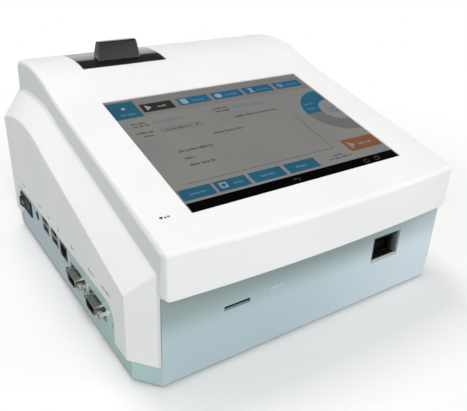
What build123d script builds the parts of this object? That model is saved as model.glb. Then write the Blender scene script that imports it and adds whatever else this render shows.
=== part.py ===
from build123d import *
import math
import os

# Bench immunofluorescence analyzer, in millimetres.
# Modelled with x to the right, y = 0 on the base's flat front and z = 0 on the table,
# then moved so that the origin lies under the middle of the whole box.

# Outer form
body_width = 282.0
body_depth = 260.5
front_corner_inset = 15.5
corner_setback = 18.8
foot_drop = 2.5
hem_z = 17.5
wall = 2.5
seam_gap = 0.3
base_inset = 2.2

# Screen housing: a bowed front that overhangs the base, a sloping deck and a rear crest
housing_side_step = 14.0
housing_draft = 2.57
housing_low_z = 72.5
housing_top_ref_z = 160.0
overhang_corner = 5.6
overhang_middle = 10.5
front_corner_radius = 6.0
housing_edge_radius = 3.6
deck_tilt = 12.5
deck_zero_z = 107.4
deck_end_y = 158.0
crest_from_rear = 34.5
crest_z = 157.5
rear_round_radius = 8.0
rear_round_z = 146.6
rear_round_lean = 12.0

# Side wings: an outer edge line and a root line at the housing, each rising to the rear
wing_root_cover = 3.0
wing_front_z = 68.2
wing_deck_z = 106.5
wing_crest_z = 117.5
wing_crest_from_rear = 60.5
wing_rear_z = 105.5
root_front_z = 93.0
root_deck_z = 126.0
root_crest_z = 136.3
root_crest_from_rear = 57.0
root_rear_z = 129.5
wing_deck_y = 150.0
wing_rear_fall = 0.42
wing_edge_radius = 2.6
shoulder_skin = 3.9

# Display
screen_width = 185.0
screen_height = 138.75
screen_front_y = 20.0
screen_lip = 1.0
glass_border = 4.7
glass_thickness = 1.8
glass_gap = 0.3
display_width = 188.0
display_height = 142.0
display_thickness = 6.2
bracket_thickness = 1.2
bracket_width = 216.0
bracket_height = 124.0
bracket_window_width = 66.0
bracket_window_height = 84.0
bracket_window_radius = 8.0
bracket_window_x = 44.0
bracket_fold = 7.2
bracket_hole_x = 104.0
bracket_hole_y = 55.0
display_boss_radius = 3.5
small_screw_radius = 1.2
small_screw_length = 5.0
small_head_radius = 2.4
small_head_height = 1.6
thread_clearance = 0.05
screw_hole_radius = 1.4
screw_pass_radius = 1.6

# Status light
light_offset = 2.45
light_y = 22.7
light_radius = 1.2
light_flange_radius = 2.6
light_length = 9.0

# Port panel in the left side, seen from that side
panel_front_y = 37.3
panel_rear_clear = 12.5
panel_top_z = 47.0
panel_corner_radius = 12.0
panel_rear_radius = 5.0
panel_flange = 3.0
panel_thickness = 2.5
port_depth = 17.0
port_gap = 0.3
port_spaces = (1.4, 11.0, 11.05, 7.7, 4.25, 6.1, 6.2, 9.7, 1.9)

switch_z = 32.0
switch_length = 28.8
switch_height = 14.0
switch_rim = 1.2
switch_proud = 1.4
switch_pin_radius = 1.0
rocker_length = 21.5
rocker_height = 8.8
rocker_proud = 2.4
rocker_dip = 1.0
rocker_tilt = 8.0
rocker_pivot_depth = 4.0
rocker_gap = 0.4

jack_z = 34.5
jack_width = 9.0
jack_hole_radius = 3.2
jack_collar_radius = 4.0
jack_pin_radius = 1.0
jack_hole_depth = 9.0

usb_z = 37.5
usb_width = 14.5
usb_height = 15.6
usb_mouth_width = 12.5
usb_mouth_height = 5.1
usb_mouth_pitch = 7.8
usb_mouth_depth = 12.0
usb_proud = 0.4
usb_tongue_thickness = 1.8

lan_z = 34.3
lan_width = 16.0
lan_height = 13.5
lan_mouth_width = 11.8
lan_mouth_height = 7.4
lan_notch_width = 6.0
lan_notch_height = 2.6
lan_mouth_depth = 12.0

serial_z = 27.2
serial_flange_length = 30.8
serial_flange_height = 12.5
serial_flange_thickness = 0.9
serial_shell_width = 16.9
serial_shell_height = 8.4
serial_shell_wall = 0.6
serial_shell_reach = 5.6
serial_screw_spacing = 24.99
jackscrew_flats = 4.8
jackscrew_length = 4.6
jackscrew_thread_radius = 1.25
jackscrew_thread_depth = 4.0
jackscrew_neck_radius = 1.5

lock_slot_z = 26.5
lock_slot_length = 7.0
lock_slot_height = 3.0

# Front openings
cassette_port_inset = 55.8
cassette_port_z = 47.2
cassette_port_width = 28.6
cassette_port_height = 22.6
bezel_wall = 1.7
bezel_depth = 8.5
bezel_setback = 0.6
bezel_flange = 3.0
bezel_flange_thickness = 1.5
chip_slot_inset = 56.3
chip_slot_z = 46.8
chip_slot_width = 20.6
chip_slot_height = 2.6
chip_slot_bevel = 1.6
chip_socket_depth = 16.0
chip_socket_width = 26.0
chip_socket_height = 9.0
chip_board_rear_y = 30.0
chip_post_y = 24.0
chip_post_step = 9.0

# Base tray
floor_thickness = 2.5
tongue_rise = 4.0
tongue_thickness = 1.9
base_front_wall = 2.5
base_wall_tongue_top_z = 80.0
pillar_side_clear = 10.0
pillar_front_y = 34.0
pillar_rear_clear = 9.5
pillar_radius = 4.0
case_screw_radius = 1.45
case_screw_length = 19.0
case_head_radius = 3.0
case_head_height = 2.4
case_counterbore_radius = 3.6
case_counterbore_depth = 3.0
foot_side_clear = 29.0
foot_front_y = 26.0
foot_rear_clear = 26.5
foot_radius = 8.0
foot_taper = 1.0
foot_pocket = 1.0
board_thickness = 1.6
board_low_z = 18.6
board_width = 106.0
board_rear_clear = 46.5
board_front_y = 48.0
standoff_radius = 3.2
heat_sink_size = 32.0
heat_sink_base = 4.0
heat_sink_height = 13.0
heat_sink_fin = 1.4
heat_sink_fin_count = 6
vent_slot_width = 3.0
vent_pitch = 8.0
floor_vent_length = 34.0
floor_vent_count = 9
rear_vent_height = 22.0
rear_vent_low_z = 34.0
rear_vent_count = 7
rear_vent_x = 70.0

# Receipt printer, under the dark lid on the crest
door_inset = 74.6
door_width = 74.6
door_gap = 0.4
door_length = 38.5
door_thickness = 2.2
hinge_from_rear = 19.0
hinge_barrel_radius = 6.5
hinge_pin_radius = 1.5
running_gap = 0.05
grip_width = 38.0
grip_top_width = 35.0
grip_from_hinge = 27.5
grip_depth = 14.0
grip_top_depth = 5.5
grip_height = 13.5
grip_chamfer = 1.0
grip_scoop = 19.5
grip_scoop_depth = 2.0
grip_scoop_side = 2.0
printer_side = 3.0
bin_floor_z = 101.0
bin_floor_thickness = 2.0
bin_front_clear = 4.3
bin_rear_clear = 7.0
bin_wall = 2.2
printer_lug_z = 135.0
printer_lug_thickness = 3.0
printer_lug_reach = 9.0
printer_lug_width = 10.0
paper_roll_radius = 15.5
paper_core_radius = 6.0
paper_width = 57.0
paper_roll_from_hinge = 17.5
platen_from_edge = 8.2
platen_drop = 10.8
platen_radius = 5.0
platen_shaft_radius = 2.0
platen_arm_thickness = 2.5
platen_arm_offset = 31.0
platen_gear_teeth = 20
platen_gear_module = 0.6
platen_gear_width = 2.4
print_head_thickness = 2.0
print_head_height = 14.0
head_stay_width = 24.0
head_stay_height = 6.0
tear_bar_height = 6.0
tear_bar_thickness = 0.8
tear_bar_drop = 0.4
tear_bar_teeth = 28
printer_motor_radius = 7.5
printer_motor_length = 11.0

# Cassette stage, behind the square front port
stage_drop = 15.8
stage_plate = 2.0
stage_front_y = 14.0
stage_length = 151.0
stage_half_width = 26.0
tray_width = 22.0
tray_drop = 8.2
tray_height = 6.8
tray_front_y = 10.0
tray_length = 76.0
tray_pocket_width = 19.4
tray_pocket_length = 58.0
tray_pocket_depth = 3.6
tray_travel = 62.0
carriage_length = 20.0
rod_radius = 2.0
rod_offset = 12.0
rod_drop = 4.2
rod_boss_drop = 4.2
rack_module = 0.8
rack_back = 3.0
pinion_teeth = 20
gear_height = 6.0
gear_backlash = 0.30
motor_radius = 14.0
motor_height = 14.0
motor_shaft_radius = 1.5

# Optics, carried on a bridge over the stage
optics_y = 86.0
bridge_rise = 18.2
bridge_plate = 3.0
bridge_leg_radius = 3.0
bridge_leg_step_left = 22.0
bridge_leg_step_right = 17.0
optics_width = 38.0
optics_length = 40.0
optics_height = 32.0
barrel_radius = 7.0
barrel_drop = 6.0
lens_radius = 5.0
lens_thickness = 2.2
lamp_radius = 5.0
lamp_length = 18.0
detector_board_size = 26.0
detector_can_radius = 6.0
detector_can_height = 7.0

half_width = body_width / 2
front_half = half_width - front_corner_inset
housing_width_low = body_width - 2 * housing_side_step
housing_width_top = housing_width_low - 2 * housing_draft
wing_root_x = housing_width_low / 2 - wing_root_cover
crest_y = body_depth - crest_from_rear
wing_crest_y = body_depth - wing_crest_from_rear
root_crest_y = body_depth - root_crest_from_rear
base_half = half_width - base_inset
base_clear = wall - base_inset + seam_gap
panel_x = -base_half
panel_rear_y = body_depth - panel_rear_clear
deck_slope = math.tan(math.radians(deck_tilt))
deck_fall = math.cos(math.radians(deck_tilt))
chamfer_slope = corner_setback / front_corner_inset
chamfer_skin = wall * math.hypot(1, chamfer_slope)
light_x = -(housing_width_low + screen_width) / 4 - light_offset
pillar_x = half_width - pillar_side_clear
pillar_rear_y = body_depth - pillar_rear_clear
foot_x = half_width - foot_side_clear
foot_rear_y = body_depth - foot_rear_clear
floor_top = foot_drop + floor_thickness
rim_top = hem_z - seam_gap
board_length = body_depth - board_rear_clear - board_front_y
board_top_z = board_low_z + board_thickness
cassette_port_x = front_half - cassette_port_inset
tray_x = cassette_port_x
tray_low_z = cassette_port_z - tray_drop
rod_z = tray_low_z - rod_drop
stage_floor_z = tray_low_z - stage_drop
bridge_z = tray_low_z + bridge_rise
stage_rear_y = stage_front_y + stage_length
chip_slot_x = chip_slot_inset - front_half
door_x = door_inset - housing_width_top / 2
opening_width = door_width + 2 * door_gap
hinge_y = body_depth - hinge_from_rear
door_front_y = hinge_y - door_length
grip_front_y = hinge_y - grip_from_hinge
bin_front_y = door_front_y - bin_front_clear
bin_rear_y = body_depth - bin_rear_clear
paper_roll_y = hinge_y - paper_roll_from_hinge
platen_y = door_front_y + platen_from_edge
mid_y = (body_depth - overhang_middle) / 2


def port_centres():
    """Places of the ports along the panel, from the rear; the spaces between them stretch with the panel."""
    lengths = (
        switch_length, jack_width, usb_width, usb_width, lan_width,
        serial_flange_length, serial_flange_length, lock_slot_length,
    )
    stretch = (panel_rear_y - panel_front_y - sum(lengths)) / sum(port_spaces)
    y = panel_rear_y
    centres = []
    for space, length in zip(port_spaces, lengths):
        y -= space * stretch + length
        centres.append(y + length / 2)
    return centres


switch_y, jack_y, usb_rear_y, usb_front_y, lan_y, serial_rear_y, serial_front_y, lock_slot_y = port_centres()
usb_places_y = (usb_rear_y, usb_front_y)
serial_places_y = (serial_rear_y, serial_front_y)


def block(x0, x1, y0, y1, z0, z1):
    """Box between two corners."""
    return Pos((x0 + x1) / 2, (y0 + y1) / 2, (z0 + z1) / 2) * Box(x1 - x0, y1 - y0, z1 - z0)


def post(x, y, z0, z1, radius):
    """Upright cylinder."""
    return Pos(x, y, (z0 + z1) / 2) * Cylinder(radius, z1 - z0)


def flat_post(x, y, z0, z1, radius):
    """Upright eight-sided post or hole, for hidden places."""
    return Pos(x, y, z0) * extrude(RegularPolygon(radius, 8), z1 - z0)


def rod_x(x0, x1, y, z, radius):
    """Cylinder lying along x."""
    return Pos((x0 + x1) / 2, y, z) * Rot(0, 90, 0) * Cylinder(radius, x1 - x0)


def rod_y(x, y0, y1, z, radius):
    """Cylinder lying along y."""
    return Pos(x, (y0 + y1) / 2, z) * Rot(90, 0, 0) * Cylinder(radius, y1 - y0)


def deck_z(y):
    """Height of the sloping deck's outer face."""
    return deck_zero_z + deck_slope * y


def deck_plane():
    """Plane on the deck's outer face, centred on the screen."""
    y = screen_front_y + screen_height / 2 * deck_fall
    normal = (0, -math.sin(math.radians(deck_tilt)), deck_fall)
    return Plane(origin=(0, y, deck_z(y)), x_dir=(1, 0, 0), z_dir=normal)


# Outer shell

def crest_curves(inset):
    """Side-view curves from the deck's end over the crest and round the rear corner."""
    lift = inset / deck_fall
    deck_end = (deck_end_y, deck_z(deck_end_y) - lift)
    crest = (crest_y, crest_z - inset)
    radius = rear_round_radius - inset
    lean = math.radians(rear_round_lean)
    middle = (lean + math.pi / 2) / 2
    corner_y = body_depth - rear_round_radius
    start, halfway, end = (
        (corner_y + radius * math.sin(turn), rear_round_z + radius * math.cos(turn))
        for turn in (lean, middle, math.pi / 2)
    )
    rise = Spline([deck_end, crest], tangents=[(1, deck_slope), (1, 0)])
    fall = Spline([crest, start], tangents=[(1, 0), (math.cos(lean), -math.sin(lean))])
    corner = ThreePointArc(start, halfway, end)
    return rise, fall, corner


def crest_height(y):
    """Height of the rising curve in front of the crest."""
    rise = crest_curves(0)[0]
    low, high = 0.0, 1.0
    for _ in range(40):
        middle = (low + high) / 2
        if (rise @ middle).X < y:
            low = middle
        else:
            high = middle
    return (rise @ low).Y


platen_z = crest_height(platen_y) - platen_drop


def housing_side(inset, low_z):
    """Side view of the screen housing, drawn inside its skin by inset."""
    lift = inset / deck_fall
    start_y = -3 * overhang_middle
    start = (start_y, deck_z(start_y) - lift)
    rise, fall, corner = crest_curves(inset)
    deck_line = Line(start, rise @ 0)
    rest = Polyline(corner @ 1, (body_depth - inset, low_z), (start_y, low_z), start)
    return make_face([deck_line, rise, fall, corner] + rest.edges())


def housing_plan(inset):
    """Plan view of the housing with its bowed front."""
    half = housing_width_low / 2 - inset
    corner_y = -overhang_corner + inset
    rear_y = body_depth - inset
    sides = Polyline((-half, corner_y), (-half, rear_y), (half, rear_y), (half, corner_y))
    bow = ThreePointArc((half, corner_y), (0, -overhang_middle + inset), (-half, corner_y))
    plan = make_face(sides.edges() + [bow])
    front_corners = plan.vertices().sort_by(Axis.Y)[:2]
    return fillet(front_corners, front_corner_radius - inset)


def housing_front(inset, low_z):
    """Front view of the housing: sides drawn in slightly towards the top."""
    low = housing_width_low / 2 - inset
    top = housing_width_top / 2 - inset
    outline = Polyline((-low, low_z), (-top, housing_top_ref_z), (top, housing_top_ref_z), (low, low_z), close=True)
    front = make_face(outline.edges())
    if inset:
        return front
    return fillet(front.vertices().sort_by(Axis.Y)[:2], front_corner_radius)


def housing_block(inset, low_z):
    """Screen housing as a solid, trimmed by its side, plan and front views."""
    side = extrude(Plane.YZ.offset(-body_width / 2) * housing_side(inset, low_z), body_width)
    plan = extrude(housing_plan(inset), housing_top_ref_z)
    front = extrude(Plane.XZ.offset(-1.1 * body_depth) * housing_front(inset, low_z), 1.2 * body_depth)
    return side & plan & front


def wing_side(x, front, deck_end, crest, rear, low_z):
    """Side view of a wing at one distance from the middle."""
    slope = (deck_end[1] - front[1]) / (deck_end[0] - front[0])
    deck_line = Line(front, deck_end)
    rise = Spline([deck_end, crest], tangents=[(1, slope), (1, 0)])
    fall = Spline([crest, rear], tangents=[(1, 0), (1, -wing_rear_fall)])
    rest = Polyline(rear, (rear[0], low_z), (front[0], low_z), front)
    return Plane.YZ.offset(x) * make_face([deck_line, rise, fall] + rest.edges())


def wing_block(inset, low_z):
    """Right wing: a slanted shoulder lofted from its outer edge up to the housing."""
    run = half_width - wing_root_x
    skin = shoulder_skin * inset / wall
    root_x = wing_root_x - inset
    outer_x = half_width - inset
    root_y = corner_setback - (half_width - root_x) * chamfer_slope + chamfer_skin * inset / wall
    outer_y = corner_setback - inset * chamfer_slope + chamfer_skin * inset / wall
    rear_y = body_depth - inset

    def height(outer, root, x):
        return outer + (root - outer) * (half_width - x) / run - skin

    sections = []
    for x, front_y, crest_at in ((root_x, root_y, root_crest_y), (outer_x, outer_y, wing_crest_y)):
        front = (front_y, height(wing_front_z, root_front_z, x))
        deck_end = (wing_deck_y, height(wing_deck_z, root_deck_z, x))
        crest = (crest_at, height(wing_crest_z, root_crest_z, x))
        rear = (rear_y, height(wing_rear_z, root_rear_z, x))
        sections.append(wing_side(x, front, deck_end, crest, rear, low_z))
    return loft(sections, ruled=True)


def outer_form():
    """Whole outer form of the white shell, before it is hollowed."""
    housing = housing_block(0, housing_low_z)
    top_chain = [
        edge for edge in housing.edges()
        if edge.center().Z > deck_zero_z - 5
        and edge.center().Y < body_depth - 1
        and not (abs(edge.center().X) < 1 and edge.center().Y > 0)
    ]
    housing = fillet(top_chain, housing_edge_radius)
    wing = wing_block(0, hem_z)
    soft = [
        edge for edge in wing.edges()
        if edge.center().Z > wing_front_z - 10 and edge.center().Y < body_depth - 1
        and (edge.center().X > half_width - 0.1 or
             (edge.center().Y < corner_setback and wing_root_x + 1 < edge.center().X < half_width - 1))
    ]
    wing = fillet(soft, wing_edge_radius)
    wing -= block(0, front_half, -corner_setback, body_depth + 1, 0, housing_low_z)
    skirt = block(-front_half, front_half, body_depth - 2 * wall, body_depth, hem_z, housing_low_z + wall)
    return housing + skirt + wing + mirror(wing, Plane.YZ)


def shell_cavity():
    """Room inside the white shell, open below."""
    cavity = housing_block(wall, housing_low_z + wall)
    wing = wing_block(wall, hem_z - 5)
    cavity += wing
    cavity += mirror(wing, Plane.YZ)
    throat = wing_root_x - 2
    cavity += block(-throat, throat, -seam_gap, body_depth - wall, hem_z - 5, housing_low_z + 2 * wall)
    return cavity


def panel_outline(grow):
    """Side view of the port panel opening, grown outwards by grow."""
    low_z = hem_z - 12
    outline = Polyline(
        (panel_front_y - grow, low_z),
        (panel_rear_y + grow, low_z),
        (panel_rear_y + grow, panel_top_z + grow),
        (panel_front_y - grow, panel_top_z + grow),
        close=True,
    )
    face = make_face(outline.edges())
    top = face.vertices().sort_by(Axis.Y)[-2:].sort_by(Axis.X)
    face = fillet(top[0], panel_corner_radius + grow)
    rear = face.vertices().sort_by(Axis.Y)[-2:].sort_by(Axis.X)
    return fillet(rear[-1], panel_rear_radius + grow)


def panel_slab(grow, x0, x1, low_z):
    """Slab of the port panel outline between two x positions."""
    slab = extrude(Plane.YZ.offset(x0) * panel_outline(grow), x1 - x0)
    return slab - block(x0 - 1, x1 + 1, 0, body_depth, 0, low_z)


def pillar_places():
    """Plan positions of the four case screws."""
    return [(side * pillar_x, y) for side in (-1, 1) for y in (pillar_front_y, pillar_rear_y)]


def printer_screw_places():
    """Plan positions of the four printer screws."""
    reach = opening_width / 2 + printer_side + printer_lug_reach / 2
    return [(door_x + side * reach, y) for side in (-1, 1) for y in (bin_front_y + 10, bin_rear_y - 14)]


def display_screw_places():
    """Positions of the display screws on the deck plane."""
    return [(sx * bracket_hole_x, sy * bracket_hole_y) for sx in (-1, 1) for sy in (-1, 1)]


def top_shell():
    """White moulded shell with its openings, screw pillars and bosses."""
    form = outer_form()
    deck = deck_plane()
    shell = form - shell_cavity()
    boss_low = -screen_lip - glass_thickness - display_thickness
    for x, y in display_screw_places():
        shell += deck * flat_post(x, y, boss_low, -wall / 2, display_boss_radius)
        shell -= deck * flat_post(x, y, boss_low, boss_low + small_screw_length, screw_hole_radius)
    for x, y in pillar_places():
        shell += flat_post(x, y, hem_z, crest_z, pillar_radius) & form
        shell -= post(x, y, hem_z - 1, hem_z + case_screw_length, case_screw_radius + thread_clearance)
    for x, y in printer_screw_places():
        lug_top = printer_lug_z + printer_lug_thickness
        shell += flat_post(x, y, lug_top, crest_z, display_boss_radius) & form
        shell -= flat_post(x, y, lug_top, lug_top + small_screw_length, screw_hole_radius)
    shell -= deck * Box(screen_width, screen_height, 4 * wall)
    pocket_width = screen_width + 2 * glass_border + 2 * glass_gap
    pocket_height = screen_height + 2 * glass_border + 2 * glass_gap
    shell -= deck * Pos(0, 0, -screen_lip - wall) * Box(pocket_width, pocket_height, 2 * wall)
    light_local_y = (light_y - deck.origin.Y) / deck_fall
    shell -= deck * Pos(light_x, light_local_y, 0) * Cylinder(light_radius + running_gap, 4 * wall)
    opening_half = opening_width / 2
    rear_edge = hinge_y + hinge_barrel_radius + 3 * door_gap
    shell -= block(door_x - opening_half, door_x + opening_half, door_front_y - 2 * door_gap, rear_edge,
                   printer_lug_z, crest_z + wall)
    shell -= panel_slab(0, -half_width - 1, -half_width + 2 * wall, hem_z - 8)
    for side in (-1, 1):
        for step in range(rear_vent_count):
            x = side * rear_vent_x + (step - (rear_vent_count - 1) / 2) * vent_pitch
            shell -= block(x - vent_slot_width / 2, x + vent_slot_width / 2, body_depth - 2 * wall, body_depth + 1,
                           rear_vent_low_z, rear_vent_low_z + rear_vent_height)
    return shell


# Blue base

def base_plan(side_inset, chamfer_inset, front_inset):
    """Plan view of the base, with its slanted front corners."""
    half = base_half - side_inset
    front = front_half - seam_gap
    shift = chamfer_inset * math.hypot(1, chamfer_slope)
    corner_y = (half - front) * chamfer_slope + shift
    front_x = front + (front_inset - shift) / chamfer_slope
    rear_y = body_depth - base_inset - side_inset
    points = [
        (-front_x, front_inset), (-half, corner_y), (-half, rear_y),
        (half, rear_y), (half, corner_y), (front_x, front_inset),
    ]
    return make_face(Polyline(*points, close=True).edges())


def board_corners():
    """Plan positions of the main board's screws."""
    x0 = -base_half + panel_thickness + 0.8
    margin = 5.0
    return [
        (x, y)
        for x in (x0 + board_width / 2, x0 + board_width - margin)
        for y in (board_front_y + margin, board_front_y + board_length - margin)
    ]


def stage_corners():
    """Plan positions of the standoffs under the cassette stage."""
    left = tray_x - stage_half_width + 4
    right = motor_center()[0] + motor_radius - 3
    return [(x, y) for x in (left, right) for y in (stage_front_y + 8, stage_rear_y - 8)]


def chip_posts():
    """Plan positions of the standoffs under the chip socket."""
    return [(chip_slot_x + side * chip_post_step, chip_post_y) for side in (-1, 1)]


def standoffs():
    """Hexagon standoffs on the base's floor, one solid each."""
    hexagon = RegularPolygon(standoff_radius, 6)
    tops = [(place, board_low_z) for place in board_corners()]
    tops += [(place, stage_floor_z) for place in stage_corners()]
    parts = []
    for (x, y), top in tops:
        body = Pos(x, y, floor_top) * extrude(hexagon, top - floor_top)
        parts.append(body - flat_post(x, y, top - small_screw_length, top + 1, screw_hole_radius))
    return parts + [Pos(x, y, floor_top) * extrude(hexagon, chip_board_z() - floor_top) for x, y in chip_posts()]


def foot_places():
    """Plan positions of the rubber feet."""
    return [(side * foot_x, y) for side in (-1, 1) for y in (foot_front_y, foot_rear_y)]


def port_cutouts():
    """Holes through the port panel for everything that stands in it."""
    depth = 4 * panel_thickness
    inner_length = switch_length - 2 * switch_rim
    inner_height = switch_height - 2 * switch_rim
    cuts = Pos(panel_x, switch_y, switch_z) * Box(depth, inner_length + 2 * port_gap, inner_height + 2 * port_gap)
    cuts += rod_x(panel_x - depth / 2, panel_x + depth / 2, jack_y, jack_z, jack_collar_radius + port_gap)
    for y in usb_places_y:
        cuts += Pos(panel_x, y, usb_z) * Box(depth, usb_width + 2 * port_gap, usb_height + 2 * port_gap)
    cuts += Pos(panel_x, lan_y, lan_z) * Box(depth, lan_width + 2 * port_gap, lan_height + 2 * port_gap)
    for y in serial_places_y:
        cuts += Pos(panel_x, y, serial_z) * Box(depth, serial_shell_width + 2, serial_shell_height + 2)
        cuts += Pos(panel_x, y, serial_z) * Box(
            2 * serial_flange_thickness, serial_flange_length + port_gap, serial_flange_height + port_gap)
        for side in (-1, 1):
            cuts += rod_x(panel_x - depth / 2, panel_x + depth / 2, y + side * serial_screw_spacing / 2, serial_z,
                          jackscrew_neck_radius + 0.1)
    slot = SlotOverall(lock_slot_length, lock_slot_height)
    cuts += extrude(Plane.YZ.offset(panel_x - depth / 2) * Pos(lock_slot_y, lock_slot_z) * slot, depth)
    return cuts


def front_cutouts():
    """Holes through the base's front wall."""
    half = cassette_port_width / 2
    rise = cassette_port_height / 2
    cuts = block(cassette_port_x - half, cassette_port_x + half, -1, 2 * base_front_wall,
                 cassette_port_z - rise, cassette_port_z + rise)
    chip_half = chip_slot_width / 2
    chip_low = chip_slot_z - chip_slot_height / 2
    cuts += block(chip_slot_x - chip_half, chip_slot_x + chip_half, -1, 2 * base_front_wall,
                  chip_low, chip_low + chip_slot_height)
    lead_in = Polyline((-1, chip_low - chip_slot_bevel), (base_front_wall * 0.8, chip_low + 0.1),
                       (-1, chip_low + 0.1), close=True)
    cuts += extrude(Plane.YZ.offset(chip_slot_x - chip_half) * make_face(lead_in.edges()), chip_slot_width)
    return cuts


def base_tray():
    """Blue base: floor, low rim with its tongue and the tall front wall."""
    clear = wall + seam_gap
    tray = extrude(Plane.XY.offset(foot_drop) * base_plan(0, 0, 0), rim_top - foot_drop)
    tray += extrude(Plane.XY.offset(foot_drop) * base_plan(base_clear, clear, 0), rim_top + tongue_rise - foot_drop)
    inner = base_plan(base_clear + tongue_thickness, clear + tongue_thickness, base_front_wall)
    tray -= extrude(Plane.XY.offset(floor_top) * inner, 4 * hem_z)
    front = front_half - seam_gap
    tray -= block(-front, front, -1, clear, rim_top, 4 * hem_z)
    tray += block(-front, front, 0, base_front_wall, foot_drop, housing_low_z - seam_gap)
    upper = housing_width_top / 2 - wall - 2 * seam_gap
    tray += block(-upper, upper, 0, base_front_wall, housing_low_z - 1, base_wall_tongue_top_z)
    behind = panel_x + panel_thickness + seam_gap
    tray -= panel_slab(0, panel_x - 1, behind, floor_top)
    tray -= panel_slab(panel_flange + seam_gap, panel_x - 1, behind, rim_top)
    for x, y in pillar_places():
        tray += post(x, y, foot_drop, rim_top, pillar_radius + 1)
        tray -= post(x, y, 0, hem_z, case_screw_radius + 0.25)
        tray -= post(x, y, 0, foot_drop + case_counterbore_depth, case_counterbore_radius)
    for x, y in foot_places():
        tray -= post(x, y, 0, foot_drop + foot_pocket, foot_radius + port_gap)
    for step in range(floor_vent_count):
        x = (step - (floor_vent_count - 1) / 2) * vent_pitch
        tray -= block(x - vent_slot_width / 2, x + vent_slot_width / 2, mid_y, mid_y + floor_vent_length,
                      0, floor_top + 1)
    return tray - front_cutouts()


def port_panel():
    """Socket panel in the base's left side, with a flange behind the shell's edge."""
    panel = panel_slab(-seam_gap, panel_x, panel_x + panel_thickness, floor_top)
    panel += panel_slab(panel_flange, panel_x + base_clear, panel_x + panel_thickness, hem_z)
    return panel - port_cutouts()


def rubber_feet():
    """Four tapered rubber feet, one solid each."""
    height = foot_drop + foot_pocket
    return [
        Pos(x, y, height / 2) * Cone(foot_radius - foot_taper, foot_radius, height)
        for x, y in foot_places()
    ]


def pan_screw(radius, length, head_radius, head_height):
    """Screw with its head seat at z = 0 and its shank upwards."""
    shank = extrude(RegularPolygon(radius, 8), length)
    head = Pos(0, 0, -head_height) * extrude(RegularPolygon(head_radius, 12), head_height)
    rim = head.edges().group_by(Axis.Z)[0]
    return shank + chamfer(rim, head_height * 0.35)


def case_screws():
    """Four long screws that come up through the base into the shell's pillars."""
    seat = foot_drop + case_counterbore_depth
    reach = hem_z - seat + case_screw_length - 3
    screw = pan_screw(case_screw_radius, reach, case_head_radius, case_head_height)
    return [Pos(x, y, seat) * screw for x, y in pillar_places()]


# Display

def touch_panel():
    """Glass touch panel, seated against the lip from inside."""
    width = screen_width + 2 * glass_border
    height = screen_height + 2 * glass_border
    glass = RectangleRounded(width, height, 2.0)
    return deck_plane() * Pos(0, 0, -screen_lip - glass_thickness) * extrude(glass, glass_thickness)


def display_module():
    """Liquid crystal module with its folded metal back."""
    top = -screen_lip - glass_thickness
    body = Pos(0, 0, top - display_thickness / 2) * Box(display_width, display_height, display_thickness)
    step = Pos(0, 0, top - display_thickness) * Box(display_width * 0.9, display_height * 0.86, 2.4)
    frame = Pos(0, 0, top - display_thickness) * Box(display_width + 2, display_height + 2, 2.4)
    return deck_plane() * (body - (frame - step))


def display_bracket():
    """Sheet bracket behind the display, with windows and folded ends."""
    top = -screen_lip - glass_thickness - display_thickness
    plate = Pos(0, 0, top - bracket_thickness / 2) * Box(bracket_width, bracket_height, bracket_thickness)
    outline = RectangleRounded(bracket_window_width, bracket_window_height, bracket_window_radius)
    for side in (-1, 1):
        plate -= Pos(side * bracket_window_x, 0, top) * extrude(outline, -2 * bracket_thickness, both=True)
        fold_y = side * (bracket_height / 2 - bracket_thickness / 2)
        plate += Pos(0, fold_y, top - bracket_fold / 2) * Box(bracket_width * 0.7, bracket_thickness, bracket_fold)
    for x, y in display_screw_places():
        plate -= flat_post(x, y, top - 3, top + 3, screw_pass_radius)
    return deck_plane() * plate


def display_screws():
    """Four screws that hold the display bracket to the shell's bosses."""
    seat = -screen_lip - glass_thickness - display_thickness - bracket_thickness
    screw = pan_screw(small_screw_radius, small_screw_length, small_head_radius, small_head_height)
    return [deck_plane() * Pos(x, y, seat) * screw for x, y in display_screw_places()]


def status_light():
    """Clear light pipe with a flange under the deck's skin."""
    deck = deck_plane()
    local_y = (light_y - deck.origin.Y) / deck_fall
    pipe = Pos(0, 0, -light_length / 2 + 0.1) * Cylinder(light_radius, light_length)
    flange = Pos(0, 0, -wall - 0.75) * Cylinder(light_flange_radius, 1.5)
    return deck * Pos(light_x, local_y, 0) * (pipe + flange)


# Ports on the left panel

def port_body(y, width, z0, z1, x_face):
    """Body of a board connector: its head behind the panel and its foot on the board."""
    head = block(x_face, panel_x + port_depth, y - width / 2, y + width / 2, z0, z1)
    inside = panel_x + panel_thickness + port_gap
    foot = block(inside, panel_x + port_depth, y - width / 2, y + width / 2, board_top_z, z1)
    return head + foot


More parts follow.
